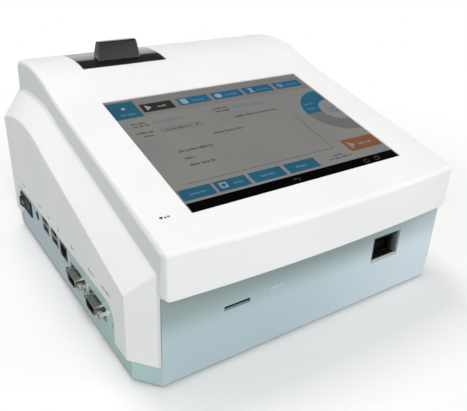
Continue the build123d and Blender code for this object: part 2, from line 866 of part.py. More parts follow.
def switch_housing():
    """Power switch body with its rim on the panel, a well for the rocker and its pin."""
    face = panel_x - switch_proud
    rim = block(face, panel_x, switch_y - switch_length / 2, switch_y + switch_length / 2,
                switch_z - switch_height / 2, switch_z + switch_height / 2)
    rim = fillet(rim.faces().sort_by(Axis.X)[0].edges(), 0.8)
    half_length = switch_length / 2 - switch_rim
    half_height = switch_height / 2 - switch_rim
    body = block(panel_x - 0.5, panel_x + port_depth, switch_y - half_length, switch_y + half_length,
                 switch_z - half_height, switch_z + half_height)
    swing = (rocker_pivot_depth + rocker_proud) * math.sin(math.radians(rocker_tilt))
    well_half = rocker_length / 2 + swing + rocker_gap
    well = block(face - 1, panel_x + 2 * rocker_pivot_depth + 1, switch_y - well_half, switch_y + well_half,
                 switch_z - rocker_height / 2 - rocker_gap, switch_z + rocker_height / 2 + rocker_gap)
    pin = post(panel_x + rocker_pivot_depth, switch_y, switch_z - half_height, switch_z + half_height,
               switch_pin_radius)
    housing = rim + body - well + pin
    for step in (-8, 8):
        housing += block(panel_x + port_depth - 1, panel_x + port_depth + 6, switch_y + step - 0.4,
                         switch_y + step + 0.4, switch_z - 2.4, switch_z + 2.4)
    return housing


def power_rocker():
    """Rocker with a shallow V face, resting with its front end pressed in."""
    half = rocker_length / 2
    inner = rocker_pivot_depth + 0.6
    outline = Polyline(
        (-rocker_proud, -half), (-rocker_proud + rocker_dip, 0), (-rocker_proud, half),
        (inner, half * 0.86), (inner + 2, 0), (inner, -half * 0.86), close=True,
    )
    rocker = extrude(Plane.XY.offset(-rocker_height / 2) * make_face(outline.edges()), rocker_height)
    rocker -= Pos(rocker_pivot_depth, 0, 0) * Cylinder(switch_pin_radius + running_gap, rocker_height + 2)
    pivot = Pos(panel_x + rocker_pivot_depth, switch_y, switch_z)
    return pivot * Rot(0, 0, rocker_tilt) * Pos(-rocker_pivot_depth, 0, 0) * rocker


def dc_jack():
    """Round power inlet with a centre pin."""
    low = panel_x + panel_thickness + port_gap
    body = block(low, panel_x + port_depth, jack_y - jack_width / 2, jack_y + jack_width / 2,
                 board_top_z, jack_z + jack_width / 2)
    body += rod_x(panel_x + 0.2, low + 1, jack_y, jack_z, jack_collar_radius)
    body -= rod_x(panel_x - 1, panel_x + jack_hole_depth, jack_y, jack_z, jack_hole_radius)
    return body + rod_x(panel_x + 1, panel_x + jack_hole_depth + 1, jack_y, jack_z, jack_pin_radius)


def usb_stack(y):
    """Two data sockets, one over the other, in one plated shell."""
    x_face = panel_x - usb_proud
    body = port_body(y, usb_width, usb_z - usb_height / 2, usb_z + usb_height / 2, x_face)
    for side in (-1, 1):
        z = usb_z + side * usb_mouth_pitch / 2
        half_w = usb_mouth_width / 2
        half_h = usb_mouth_height / 2
        body -= block(x_face - 1, x_face + usb_mouth_depth, y - half_w, y + half_w, z - half_h, z + half_h)
        tongue_top = z + half_h - 0.7
        body += block(x_face + 1.2, x_face + usb_mouth_depth + 0.5, y - half_w + 0.8, y + half_w - 0.8,
                      tongue_top - usb_tongue_thickness, tongue_top)
    return body


def lan_jack():
    """Network socket with its latch notch."""
    body = port_body(lan_y, lan_width, lan_z - lan_height / 2, lan_z + lan_height / 2, panel_x)
    low = lan_z - lan_mouth_height / 2 + 0.8
    body -= block(panel_x - 1, panel_x + lan_mouth_depth, lan_y - lan_mouth_width / 2, lan_y + lan_mouth_width / 2,
                  low, low + lan_mouth_height)
    body -= block(panel_x - 1, panel_x + lan_mouth_depth, lan_y - lan_notch_width / 2, lan_y + lan_notch_width / 2,
                  low - lan_notch_height, low + 1)
    return body


def d_outline(shrink):
    """D-shaped outline of a nine-way serial connector."""
    half = serial_shell_width / 2 - shrink
    rise = serial_shell_height / 2 - shrink
    lean = rise * 2 * math.tan(math.radians(10))
    outline = Polyline((-half, rise), (half, rise), (half - lean, -rise), (-half + lean, -rise), close=True)
    face = make_face(outline.edges())
    return fillet(face.vertices(), 2.4 - shrink)


def serial_port(y):
    """Plated flange and hollow D shell of a serial connector."""
    flange_face = Plane.YZ.offset(panel_x)
    place = Pos(y, serial_z)
    flange = extrude(flange_face * place * RectangleRounded(serial_flange_length, serial_flange_height, 1.2),
                     serial_flange_thickness)
    outside = Plane.YZ.offset(panel_x - serial_shell_reach)
    tube = extrude(outside * place * d_outline(0), serial_shell_reach + serial_flange_thickness)
    bore = extrude(outside * place * d_outline(serial_shell_wall), serial_shell_reach + 2 * serial_flange_thickness)
    port = flange + tube - bore
    for side in (-1, 1):
        port -= rod_x(panel_x - 1, panel_x + 2, y + side * serial_screw_spacing / 2, serial_z,
                      jackscrew_neck_radius + 0.1)
    return port


def serial_inserts():
    """Plastic inserts of both serial ports, standing on the board."""
    parts = []
    for y in serial_places_y:
        plane = Plane.YZ.offset(panel_x - 0.6)
        core = extrude(plane * Pos(y, serial_z) * d_outline(serial_shell_wall + running_gap),
                       0.6 + serial_flange_thickness)
        rear = block(panel_x + serial_flange_thickness, panel_x + port_depth, y - serial_shell_width / 2,
                     y + serial_shell_width / 2, serial_z - serial_shell_height / 2, serial_z + serial_shell_height / 2)
        inside = panel_x + panel_thickness + port_gap
        foot = block(inside, panel_x + port_depth, y - serial_shell_width / 2, y + serial_shell_width / 2,
                     board_top_z, serial_z)
        parts.append(core + rear + foot)
    return parts


def serial_jackscrews():
    """Four threaded hexagon standoffs beside the serial shells."""
    hexagon = RegularPolygon(jackscrew_flats / math.sqrt(3), 6)
    parts = []
    for y in serial_places_y:
        for side in (-1, 1):
            place = Pos(y + side * serial_screw_spacing / 2, serial_z)
            start = Plane.YZ.offset(panel_x - jackscrew_length)
            body = extrude(start * place * hexagon, jackscrew_length)
            neck = extrude(Plane.YZ.offset(panel_x) * place * Circle(jackscrew_neck_radius), 3)
            thread = extrude(start * place * Circle(jackscrew_thread_radius), jackscrew_thread_depth)
            parts.append(body + neck - thread)
    return parts


# Boards

def main_board():
    """Main circuit board, with its corner holes."""
    x0 = -base_half + panel_thickness + 0.8
    board = block(x0, x0 + board_width, board_front_y, board_front_y + board_length, board_low_z, board_top_z)
    for x, y in board_corners():
        board -= flat_post(x, y, board_low_z - 1, board_top_z + 1, screw_pass_radius)
    return board


def board_screws():
    """Screws of the main board and of the cassette stage."""
    screw = Rot(180, 0, 0) * pan_screw(small_screw_radius, small_screw_length - 0.6, small_head_radius,
                                       small_head_height)
    parts = [Pos(x, y, board_top_z) * screw for x, y in board_corners()]
    return parts + [Pos(x, y, stage_floor_z + stage_plate) * screw for x, y in stage_corners()]


def heat_sink():
    """Finned heat sink on the main board's processor."""
    half = heat_sink_size / 2
    x = -base_half + board_width * 0.66
    y = board_front_y + board_length * 0.62
    base_top = board_top_z + heat_sink_base
    sink = block(x - half, x + half, y - half, y + half, board_top_z, base_top)
    pitch = (heat_sink_size - heat_sink_fin) / (heat_sink_fin_count - 1)
    for step in range(heat_sink_fin_count):
        fin_x = x - half + step * pitch
        sink += block(fin_x, fin_x + heat_sink_fin, y - half, y + half, base_top - 1, board_top_z + heat_sink_height)
    return sink


def chip_board_z():
    """Underside of the chip socket's board."""
    return chip_slot_z - chip_socket_height / 2 - board_thickness


def chip_socket():
    """Socket behind the code chip slot."""
    half = chip_socket_width / 2
    low = chip_slot_z - chip_socket_height / 2
    start = base_front_wall + port_gap
    body = block(chip_slot_x - half, chip_slot_x + half, start, start + chip_socket_depth, low, low + chip_socket_height)
    chip_half = chip_slot_width / 2 + port_gap
    slot_half = chip_slot_height / 2 + port_gap
    return body - block(chip_slot_x - chip_half, chip_slot_x + chip_half, start - 1, start + chip_socket_depth - 3,
                        chip_slot_z - slot_half, chip_slot_z + slot_half)


def chip_board():
    """Small board that carries the chip socket on two posts."""
    half = chip_socket_width / 2 + 3
    low = chip_board_z()
    return block(chip_slot_x - half, chip_slot_x + half, base_front_wall + 2, chip_board_rear_y,
                 low, low + board_thickness)


# Receipt printer

def hinge_axis():
    """Side-view position of the lid's hinge pin: a set depth under the crest curve."""
    fall = crest_curves(0)[1]
    low, high = 0.0, 1.0
    for _ in range(40):
        middle = (low + high) / 2
        tangent = fall % middle
        axis_y = (fall @ middle).X + tangent.Y * hinge_barrel_radius
        if axis_y < hinge_y:
            low = middle
        else:
            high = middle
    at = fall @ low
    tangent = fall % low
    return at.X + tangent.Y * hinge_barrel_radius, at.Y - tangent.X * hinge_barrel_radius


def under_skin(inset, x0, x1):
    """Everything below the housing's curved top by inset, between two x positions."""
    return extrude(Plane.YZ.offset(x0) * housing_side(inset, housing_low_z), x1 - x0)


def printer_door():
    """Dark lid that follows the crest, with its grip, hinge barrel and platen arms."""
    x0 = door_x - door_width / 2
    x1 = door_x + door_width / 2
    axis_y, axis_z = hinge_axis()
    skin = under_skin(0, x0, x1) - under_skin(door_thickness, x0, x1)
    skin &= block(x0, x1, door_front_y, axis_y, bin_floor_z, crest_z + 1)
    door = skin + rod_x(x0, x1, axis_y, axis_z, hinge_barrel_radius)
    for side in (-1, 1):
        middle = door_x + side * platen_arm_offset
        half = platen_arm_thickness / 2
        arm = block(middle - half, middle + half, platen_y - 4, platen_y + 6, platen_z - 4, crest_z)
        door += arm & under_skin(door_thickness / 2, middle - half, middle + half)
    door += door_grip()
    door -= rod_x(x0 - 1, x1 + 1, platen_y, platen_z, platen_shaft_radius + running_gap)
    return door - rod_x(x0 - 1, x1 + 1, axis_y, axis_z, hinge_pin_radius + running_gap)


def door_grip():
    """Raised grip on the lid: a tapered fin with bevelled edges and a scooped front."""
    low_z = crest_z - 8
    base_y = grip_front_y + grip_depth / 2
    base = Plane.XY.offset(low_z) * Pos(door_x, base_y) * Rectangle(grip_width + 1.5, grip_depth + 4)
    top_y = grip_front_y + grip_depth * 0.55
    top = Plane.XY.offset(crest_z + grip_height) * Pos(door_x, top_y) * Rectangle(grip_top_width, grip_top_depth)
    grip = loft([base, top], ruled=True)
    sides = [edge for edge in grip.edges() if edge.center().Z > low_z + 1]
    grip = chamfer(sides, grip_chamfer)
    scoop = rod_x(door_x - grip_width / 2 + grip_scoop_side, door_x + grip_width / 2 - grip_scoop_side,
                  grip_front_y - grip_scoop + grip_scoop_depth, crest_z + grip_height * 0.62, grip_scoop)
    grip -= scoop
    return grip - under_skin(door_thickness / 2, door_x - door_width / 2, door_x + door_width / 2)


def door_hinge_pin():
    """Steel pin through the lid's barrel and the frame's two ears."""
    axis_y, axis_z = hinge_axis()
    half = opening_width / 2 + printer_side
    pin = rod_x(door_x - half, door_x + half, axis_y, axis_z, hinge_pin_radius)
    return chamfer(pin.edges().sort_by(Axis.X)[0], 0.3)


def printer_frame():
    """Paper bin under the lid, with a round floor, hinge ears and screw lugs."""
    half = opening_width / 2 + printer_side
    x0 = door_x - half
    x1 = door_x + half
    axis_y, axis_z = hinge_axis()
    frame = block(x0, x1, bin_front_y, bin_rear_y, bin_floor_z - bin_floor_thickness, crest_z)
    frame &= under_skin(wall + seam_gap, x0, x1)
    inner_half = opening_width / 2
    hollow = block(door_x - inner_half, door_x + inner_half, bin_front_y + bin_wall, bin_rear_y - bin_wall,
                   bin_floor_z + 6, crest_z + 1)
    trough = block(door_x - inner_half, door_x + inner_half, bin_front_y + bin_wall, bin_rear_y - bin_wall,
                   bin_floor_z, bin_floor_z + 7)
    hollow += fillet(trough.edges().filter_by(Axis.X).sort_by(Axis.Z)[:2], 6)
    frame -= hollow
    frame -= rod_x(x0 - 1, x1 + 1, axis_y, axis_z, hinge_pin_radius + running_gap)
    for x, y in printer_screw_places():
        side = 1 if x > door_x else -1
        inner = door_x + side * half
        outer = inner + side * printer_lug_reach
        frame += block(min(inner, outer), max(inner, outer), y - printer_lug_width / 2, y + printer_lug_width / 2,
                       printer_lug_z, printer_lug_z + printer_lug_thickness)
        frame -= flat_post(x, y, printer_lug_z - 1, printer_lug_z + 2 * printer_lug_thickness, screw_pass_radius)
    return frame


def printer_screws():
    """Four screws that hold the printer frame up against the shell's bosses."""
    screw = pan_screw(small_screw_radius, small_screw_length + 1, small_head_radius, small_head_height)
    return [Pos(x, y, printer_lug_z) * screw for x, y in printer_screw_places()]


def paper_roll():
    """Roll of thermal paper on its core, lying in the bin."""
    z = bin_floor_z + seam_gap + paper_roll_radius
    roll = rod_x(door_x - paper_width / 2, door_x + paper_width / 2, paper_roll_y, z, paper_roll_radius)
    return roll - rod_x(door_x - paper_width, door_x + paper_width, paper_roll_y, z, paper_core_radius)


def platen_roller():
    """Rubber roller that feeds the paper."""
    reach = paper_width / 2
    roller = rod_x(door_x - reach, door_x + reach, platen_y, platen_z, platen_radius)
    return roller - rod_x(door_x - paper_width, door_x + paper_width, platen_y, platen_z, platen_shaft_radius)


def platen_shaft():
    """Steel shaft of the platen roller."""
    return rod_x(door_x - platen_arm_offset - 5.2, door_x + platen_arm_offset + 2.4, platen_y, platen_z,
                 platen_shaft_radius)


def involute_face(teeth, module, backlash):
    """Gear face with involute flanks, a tooth pointing along +x."""
    pitch = teeth * module / 2
    base = pitch * math.cos(math.radians(20))
    radii = [max(base, pitch - module), pitch, pitch + module * 0.45, pitch + module * 0.9]
    root = pitch - 1.2 * module
    flat = math.tan(math.radians(20)) - math.radians(20)
    points = []
    for tooth in range(teeth):
        middle = 2 * math.pi * tooth / teeth
        flank = []
        for radius in radii:
            roll = math.acos(min(1.0, base / radius))
            half = math.pi / (2 * teeth) - backlash / (2 * pitch) + flat - (math.tan(roll) - roll)
            flank.append((radius, half))
        foot = flank[0][1]
        for radius, half in [(root, foot)] + flank:
            points.append((radius * math.cos(middle - half), radius * math.sin(middle - half)))
        for radius, half in flank[::-1] + [(root, foot)]:
            points.append((radius * math.cos(middle + half), radius * math.sin(middle + half)))
    return make_face(Polyline(*points, close=True).edges())


def platen_gear():
    """Small gear on the platen shaft's left end."""
    x = door_x - platen_arm_offset - platen_arm_thickness / 2 - 0.4
    face = involute_face(platen_gear_teeth, platen_gear_module, 0.1)
    gear = extrude(Plane.YZ.offset(x - platen_gear_width) * Pos(platen_y, platen_z) * face, platen_gear_width)
    return gear - rod_x(x - 9, x + 9, platen_y, platen_z, platen_shaft_radius)


def tear_bar_top_z():
    """Height of the tear bar's teeth, close under the shell in front of the lid."""
    return crest_height(bin_front_y + bin_wall) - wall - seam_gap - tear_bar_drop


def print_head():
    """Thermal head plate, standing against the front of the platen, with a stay to the bin's front wall."""
    back = platen_y - platen_radius - running_gap
    plate = block(door_x - paper_width / 2 + 1, door_x + paper_width / 2 - 1, back - print_head_thickness, back,
                  platen_z - print_head_height * 0.6, platen_z + print_head_height * 0.3)
    stay_top = tear_bar_top_z() - tear_bar_height - seam_gap
    stay = block(door_x - head_stay_width / 2, door_x + head_stay_width / 2, bin_front_y + bin_wall,
                 back - print_head_thickness, stay_top - head_stay_height, stay_top)
    return plate + stay


def tear_bar():
    """Toothed strip at the paper's way out, standing on the bin's front wall."""
    reach = paper_width / 2 + 1
    y0 = bin_front_y + bin_wall
    top_z = tear_bar_top_z()
    bar = block(door_x - reach, door_x + reach, y0, y0 + tear_bar_thickness, top_z - tear_bar_height, top_z)
    pitch = 2 * reach / tear_bar_teeth
    for step in range(tear_bar_teeth):
        notch = Rectangle(pitch * 0.62, pitch * 0.62)
        place = Pos(door_x - reach + (step + 0.5) * pitch, top_z)
        bar -= extrude(Plane.XZ.offset(-y0 - 2) * place * Rot(0, 0, 45) * notch, 4)
    return bar


def printer_motor():
    """Stepping motor on the printer frame's left side."""
    face = door_x - opening_width / 2 - printer_side
    y = bin_front_y + 20
    z = bin_floor_z + 12
    can = rod_x(face - printer_motor_length - 0.8, face - 0.8, y, z, printer_motor_radius)
    can = chamfer(can.edges().sort_by(Axis.X)[0], 1.2)
    flange = Plane.YZ.offset(face - 0.8) * Pos(y, z) * SlotOverall(28, 8, rotation=90)
    return can + extrude(flange, 0.8)


# Cassette stage

def rack_pitch_x():
    """Pitch line of the rack, to the right of the right-hand rod."""
    return tray_x + rod_offset + rod_radius + rack_back + 2.2


def motor_center():
    """Plan position of the drive pinion's axis."""
    pitch_radius = pinion_teeth * rack_module / 2
    return rack_pitch_x() + pitch_radius, tray_front_y + tray_length + 6


def rack_face(y0, y1):
    """Plan view of the rack bar, toothed on its right side and in mesh with the pinion."""
    pitch = math.pi * rack_module
    line_x = rack_pitch_x()
    lean = math.tan(math.radians(20))
    thick = pitch / 4 - gear_backlash / 4
    root_x = line_x - 1.2 * rack_module
    tip_x = line_x + 0.9 * rack_module
    start = motor_center()[1] + pitch / 2
    first = math.ceil((y0 - start) / pitch + 0.5)
    last = math.floor((y1 - start) / pitch - 0.5)
    points = [(root_x - rack_back, y0), (root_x, y0)]
    for tooth in range(first, last + 1):
        middle = start + tooth * pitch
        points.append((root_x, middle - thick - (line_x - root_x) * lean))
        points.append((tip_x, middle - thick + (tip_x - line_x) * lean))
        points.append((tip_x, middle + thick - (tip_x - line_x) * lean))
        points.append((root_x, middle + thick + (line_x - root_x) * lean))
    points += [(root_x, y1), (root_x - rack_back, y1)]
    return make_face(Polyline(*points, close=True).edges())


def cassette_tray():
    """Sliding tray with its cassette pocket, carriage block and rack."""
    half = tray_width / 2
    top = tray_low_z + tray_height
    carriage_y = tray_front_y + tray_length
    tray = block(tray_x - half, tray_x + half, tray_front_y, carriage_y + carriage_length, tray_low_z, top)
    tray = fillet(tray.edges().filter_by(Axis.Z).sort_by(Axis.Y)[:2], 2)
    pocket_y = tray_front_y + 5
    pocket = block(tray_x - tray_pocket_width / 2, tray_x + tray_pocket_width / 2, pocket_y,
                   pocket_y + tray_pocket_length, top - tray_pocket_depth, top + 1)
    pocket = fillet(pocket.edges().filter_by(Axis.Z), 1.5)
    tray -= pocket
    tray -= rod_x(tray_x - half - 1, tray_x + half + 1, pocket_y + 14, top + 1.6, 6)
    carriage_half = rod_offset + rod_radius + 2.6
    low_z = rod_z - rod_boss_drop
    tray += block(tray_x - carriage_half, tray_x + carriage_half, carriage_y, carriage_y + carriage_length,
                  low_z, tray_low_z + 1)
    for side in (-1, 1):
        tray -= rod_y(tray_x + side * rod_offset, carriage_y - 1, carriage_y + carriage_length + 1, rod_z,
                      rod_radius + running_gap)
    rack_y0 = motor_center()[1] - 5
    rack_y1 = motor_center()[1] + tray_travel + 6
    rack = extrude(Plane.XY.offset(low_z) * rack_face(rack_y0, rack_y1), gear_height)
    reach = rack_pitch_x() - 1.2 * rack_module
    tray += block(tray_x + carriage_half - 1, reach, max(carriage_y, rack_y0), carriage_y + carriage_length,
                  low_z, low_z + gear_height)
    return tray + rack


def drive_pinion():
    """Pinion on the stage motor's shaft, in mesh with the rack."""
    x, y = motor_center()
    low_z = rod_z - rod_boss_drop
    face = involute_face(pinion_teeth, rack_module, gear_backlash / 2)
    gear = extrude(Plane.XY.offset(low_z + 0.5) * Pos(x, y) * Rot(0, 0, 180) * face, gear_height - 1)
    hub = post(x, y, low_z + gear_height - 0.6, low_z + gear_height + 3, 4.0)
    return gear + hub - post(x, y, 0, crest_z, motor_shaft_radius)


def stage_motor():
    """Flat stepping motor under the stage plate; its shaft turns with the pinion."""
    x, y = motor_center()
    can = post(x, y, stage_floor_z - motor_height, stage_floor_z, motor_radius)
    can = chamfer(can.edges().sort_by(Axis.Z)[0], 1.5)
    return can - post(x, y, stage_floor_z - 6, stage_floor_z + 1, motor_shaft_radius + running_gap)


def motor_shaft():
    """Steel shaft of the stage motor."""
    x, y = motor_center()
    return post(x, y, stage_floor_z - 5.5, rod_z - rod_boss_drop + gear_height + 4, motor_shaft_radius)


def stage_frame():
    """Folded frame with two end plates that hold the guide rods."""
    left = tray_x - stage_half_width
    right = motor_center()[0] + motor_radius + 1
    low = stage_floor_z
    top = tray_low_z - 0.5
    frame = block(left, right, stage_front_y, stage_rear_y, low, low + stage_plate)
    end_half = rod_offset + rod_radius + 4
    for y in (stage_front_y, stage_rear_y - 3):
        frame += block(tray_x - end_half, tray_x + end_half, y, y + 3, low, top)
    for side in (-1, 1):
        frame -= rod_y(tray_x + side * rod_offset, 0, body_depth, rod_z, rod_radius)
    x, y = motor_center()
    frame -= post(x, y, low - 1, low + stage_plate + 1, motor_shaft_radius + 3)
    window_half = rod_offset
    window_end = stage_length / 5
    frame -= block(tray_x - window_half, tray_x + window_half, stage_front_y + window_end, stage_rear_y - window_end,
                   low - 1, low + stage_plate + 1)
    for x, y in stage_corners():
        frame -= flat_post(x, y, low - 1, low + stage_plate + 1, screw_pass_radius)
    return frame


def guide_rods():
    """Two ground rods that the carriage runs on."""
    rods = [
        rod_y(tray_x + side * rod_offset, stage_front_y, stage_rear_y, rod_z, rod_radius - 0.01)
        for side in (-1, 1)
    ]
    return [chamfer(rod.edges().sort_by(Axis.Y)[0], 0.3) for rod in rods]


def port_bezel():
    """Lining sleeve of the cassette port."""
    half = cassette_port_width / 2 - seam_gap
    rise = cassette_port_height / 2 - seam_gap
    start = bezel_setback
    sleeve = block(cassette_port_x - half, cassette_port_x + half, start, start + bezel_depth,
                   cassette_port_z - rise, cassette_port_z + rise)
    back = base_front_wall + seam_gap
    flange = block(cassette_port_x - half - bezel_flange, cassette_port_x + half + bezel_flange,
                   back, back + bezel_flange_thickness,
                   cassette_port_z - rise - bezel_flange, cassette_port_z + rise + bezel_flange)
    inner_half = half - bezel_wall
    inner_rise = rise - bezel_wall
    mouth = block(cassette_port_x - inner_half, cassette_port_x + inner_half, start - 1, start + bezel_depth + 1,
                  cassette_port_z - inner_rise, cassette_port_z + inner_rise)
    return sleeve + flange - mouth


# Optics

def bridge_legs():
    """Plan positions of the optics bridge's legs, clear of the tray, rack and pinion."""
    pinion_x, pinion_y = motor_center()
    left = tray_x - stage_half_width + 5
    right = rack_pitch_x() + rack_module + bridge_leg_radius + 4
    return [
        (left, optics_y - bridge_leg_step_left), (left, optics_y + bridge_leg_step_left),
        (right, pinion_y - bridge_leg_step_right), (right, pinion_y + bridge_leg_step_right),
    ]


def optics_bridge():
    """Bridge plate on four legs over the tray."""
    legs = bridge_legs()
    xs = [place[0] for place in legs]
    ys = [place[1] for place in legs]
    plate = block(min(xs) - 5, max(xs) + 5, min(ys) - 5, max(ys) + 5, bridge_z, bridge_z + bridge_plate)
    plate = fillet(plate.edges().filter_by(Axis.Z), 3)
    for x, y in legs:
        plate += flat_post(x, y, stage_floor_z + stage_plate, bridge_z + 1, bridge_leg_radius)
    return plate - post(tray_x, optics_y, bridge_z - 1, bridge_z + bridge_plate + 1, barrel_radius + seam_gap)


def lamp_axis():
    """Plane at the lamp tube's seat, leaning back over the front of the optics block."""
    seat_y = optics_y - optics_length / 2
    seat_z = bridge_z + bridge_plate + optics_height / 2
    return Plane(origin=(tray_x, seat_y, seat_z), x_dir=(1, 0, 0), z_dir=(0, -math.cos(math.radians(30)), 0.5))


def optics_housing():
    """Black optics block with its downward lens barrel and a slanted lamp seat."""
    low = bridge_z + bridge_plate
    body = block(tray_x - optics_width / 2, tray_x + optics_width / 2, optics_y - optics_length / 2,
                 optics_y + optics_length / 2, low, low + optics_height)
    body = fillet(body.edges().filter_by(Axis.Z), 3)
    body += post(tray_x, optics_y, bridge_z - barrel_drop, low + 1, barrel_radius)
    seat = lamp_axis() * Pos(0, 0, -2) * Cylinder(lamp_radius + 2.5, 12)
    body += seat
    body -= lamp_axis() * Pos(0, 0, 1) * Cylinder(lamp_radius + running_gap, 8.1)
    body -= post(tray_x, optics_y, bridge_z - barrel_drop - 1, low + optics_height - 4, lens_radius - 1)
    body -= post(tray_x, optics_y, bridge_z - barrel_drop - 1, bridge_z - barrel_drop + lens_thickness + 0.4,
                 lens_radius + running_gap)
    return body


def objective_lens():
    """Lens in the barrel's mouth, with a bevelled lower edge."""
    low = bridge_z - barrel_drop + 0.4
    disc = post(tray_x, optics_y, low, low + lens_thickness, lens_radius)
    return chamfer(disc.edges().sort_by(Axis.Z)[0], 0.6)


def lamp_tube():
    """Excitation lamp in its finned tube."""
    lamp = Pos(0, 0, -3 + lamp_length / 2) * Cylinder(lamp_radius, lamp_length)
    for step in range(4):
        lamp += Pos(0, 0, 6.0 + step * 2.2) * extrude(RegularPolygon(lamp_radius + 1.8, 12), 1.0)
    return lamp_axis() * lamp


def detector_module():
    """Photodetector can and its board on top of the optics block."""
    low = bridge_z + bridge_plate + optics_height
    half = detector_board_size / 2
    board = block(tray_x - half, tray_x + half, optics_y - half, optics_y + half, low, low + board_thickness)
    return board + post(tray_x, optics_y, low + 1, low + board_thickness + detector_can_height, detector_can_radius)


def collect():
    """Every node by name."""
    nodes = {
        "top_shell": top_shell(),
        "base_tray": base_tray(),
        "port_panel": port_panel(),
        "standoffs": standoffs(),
        "rubber_feet": rubber_feet(),
        "case_screws": case_screws(),
        "touch_panel": touch_panel(),
        "display_module": display_module(),
        "display_bracket": display_bracket(),
        "display_screws": display_screws(),
        "status_light": status_light(),
        "switch_housing": switch_housing(),
        "power_rocker": power_rocker(),
        "dc_jack": dc_jack(),
        "lan_jack": lan_jack(),
        "serial_inserts": serial_inserts(),
        "serial_jackscrews": serial_jackscrews(),
        "main_board": main_board(),
        "board_screws": board_screws(),
        "heat_sink": heat_sink(),
        "chip_socket": chip_socket(),
        "chip_board": chip_board(),
        "printer_door": printer_door(),
        "door_hinge_pin": door_hinge_pin(),
        "printer_frame": printer_frame(),
        "printer_screws": printer_screws(),
        "paper_roll": paper_roll(),
        "platen_roller": platen_roller(),
        "platen_shaft": platen_shaft(),
        "platen_gear": platen_gear(),
        "print_head": print_head(),
        "tear_bar": tear_bar(),
        "printer_motor": printer_motor(),
        "cassette_tray": cassette_tray(),
        "drive_pinion": drive_pinion(),
        "stage_motor": stage_motor(),
        "motor_shaft": motor_shaft(),
        "stage_frame": stage_frame(),
        "guide_rods": guide_rods(),
        "port_bezel": port_bezel(),
        "optics_bridge": optics_bridge(),
        "optics_housing": optics_housing(),
        "objective_lens": objective_lens(),
        "lamp_tube": lamp_tube(),
        "detector_module": detector_module(),
    }
    for name, y in zip(("rear", "front"), usb_places_y):
        nodes[f"usb_stack_{name}"] = usb_stack(y)
    for name, y in zip(("rear", "front"), serial_places_y):
        nodes[f"serial_port_{name}"] = serial_port(y)
    return nodes


def main():
    """Write one STEP file per node, in the object's own frame."""
    os.makedirs("parts", exist_ok=True)
    to_origin = Pos(0, -mid_y, 0)
    for name, shape in collect().items():
        solids = shape if isinstance(shape, list) else shape.solids()
        placed = [to_origin * solid for solid in solids]
        node = placed[0] if len(placed) == 1 else Compound(children=placed)
        export_step(node, os.path.join("parts", f"{name}.step"))
        print(name, len(placed), "solids")


main()
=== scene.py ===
import math
import random

import bmesh
import bpy
from mathutils import Matrix, Vector


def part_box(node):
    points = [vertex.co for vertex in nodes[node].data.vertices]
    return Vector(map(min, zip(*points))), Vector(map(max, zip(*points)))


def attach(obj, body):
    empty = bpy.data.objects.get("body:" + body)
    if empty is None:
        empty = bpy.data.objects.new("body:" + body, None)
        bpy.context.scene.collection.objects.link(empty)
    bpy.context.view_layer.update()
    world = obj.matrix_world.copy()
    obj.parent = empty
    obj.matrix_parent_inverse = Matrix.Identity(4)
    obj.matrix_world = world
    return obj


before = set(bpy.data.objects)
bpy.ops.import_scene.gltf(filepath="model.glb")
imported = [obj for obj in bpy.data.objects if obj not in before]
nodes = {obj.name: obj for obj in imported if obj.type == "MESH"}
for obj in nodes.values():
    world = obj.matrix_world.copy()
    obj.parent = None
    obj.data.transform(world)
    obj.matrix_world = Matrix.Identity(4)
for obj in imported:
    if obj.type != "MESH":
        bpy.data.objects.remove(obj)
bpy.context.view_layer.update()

scene = bpy.context.scene
mm = 0.001
print("frame loaded:", len(nodes), "pieces")


# small helpers for node trees

def hexColour(code):
    parts = [int(code[i:i + 2], 16) / 255 for i in (1, 3, 5)]
    linear = [c / 12.92 if c <= 0.04045 else ((c + 0.055) / 1.055) ** 2.4 for c in parts]
    return (*linear, 1.0)


def setInputs(tree, node, values):
    # an output is linked, a node stands for its first output in use, a value or colour code is set
    for key, value in values.items():
        if isinstance(value, bpy.types.Node):
            value = next(socket for socket in value.outputs if socket.enabled)
        if isinstance(value, bpy.types.NodeSocket):
            tree.links.new(value, node.inputs[key])
        else:
            node.inputs[key].default_value = hexColour(value) if isinstance(value, str) else value


def addNode(tree, kind, at, values=None, **settings):
    # a shader node's kind is given without its prefix
    node = tree.nodes.new(kind if "Node" in kind else "ShaderNode" + kind)
    node.location = at
    for key, value in settings.items():
        setattr(node, key, value)
    setInputs(tree, node, values or {})
    return node


def addMath(tree, operation, at, *values):
    return addNode(tree, "Math", at, dict(enumerate(values)), operation=operation)


def addVectorMath(tree, operation, at, *values):
    return addNode(tree, "VectorMath", at, dict(enumerate(values)), operation=operation)


def addRange(tree, at, value, low, high, toLow=0.0, toHigh=1.0, **settings):
    # carries a value from one span into another
    return addNode(tree, "MapRange", at, {
        "Value": value, "From Min": low, "From Max": high, "To Min": toLow, "To Max": toHigh}, **settings)


def addMix(tree, at, factor, under, over):
    # lets one colour over another by a factor
    return addNode(tree, "Mix", at, {"Factor": factor, "A": under, "B": over}, data_type="RGBA")


def addNoise(tree, at, place, scale, detail, roughness=0.5, distortion=0.0):
    return addNode(tree, "TexNoise", at, {
        "Vector": place, "Scale": scale, "Detail": detail, "Roughness": roughness, "Distortion": distortion})


def addDistance(tree, at, place, middle, axes):
    # distance from a point, counted along the given axes alone
    away = addVectorMath(tree, "SUBTRACT", at, place, middle)
    flat = addVectorMath(tree, "MULTIPLY", (at[0] + 180, at[1]), away, axes)
    return addVectorMath(tree, "LENGTH", (at[0] + 360, at[1]), flat)


def addGroup(tree, group, at, place, values=None):
    return addNode(tree, "Group", at, {"Place": place, **(values or {})}, node_tree=group)


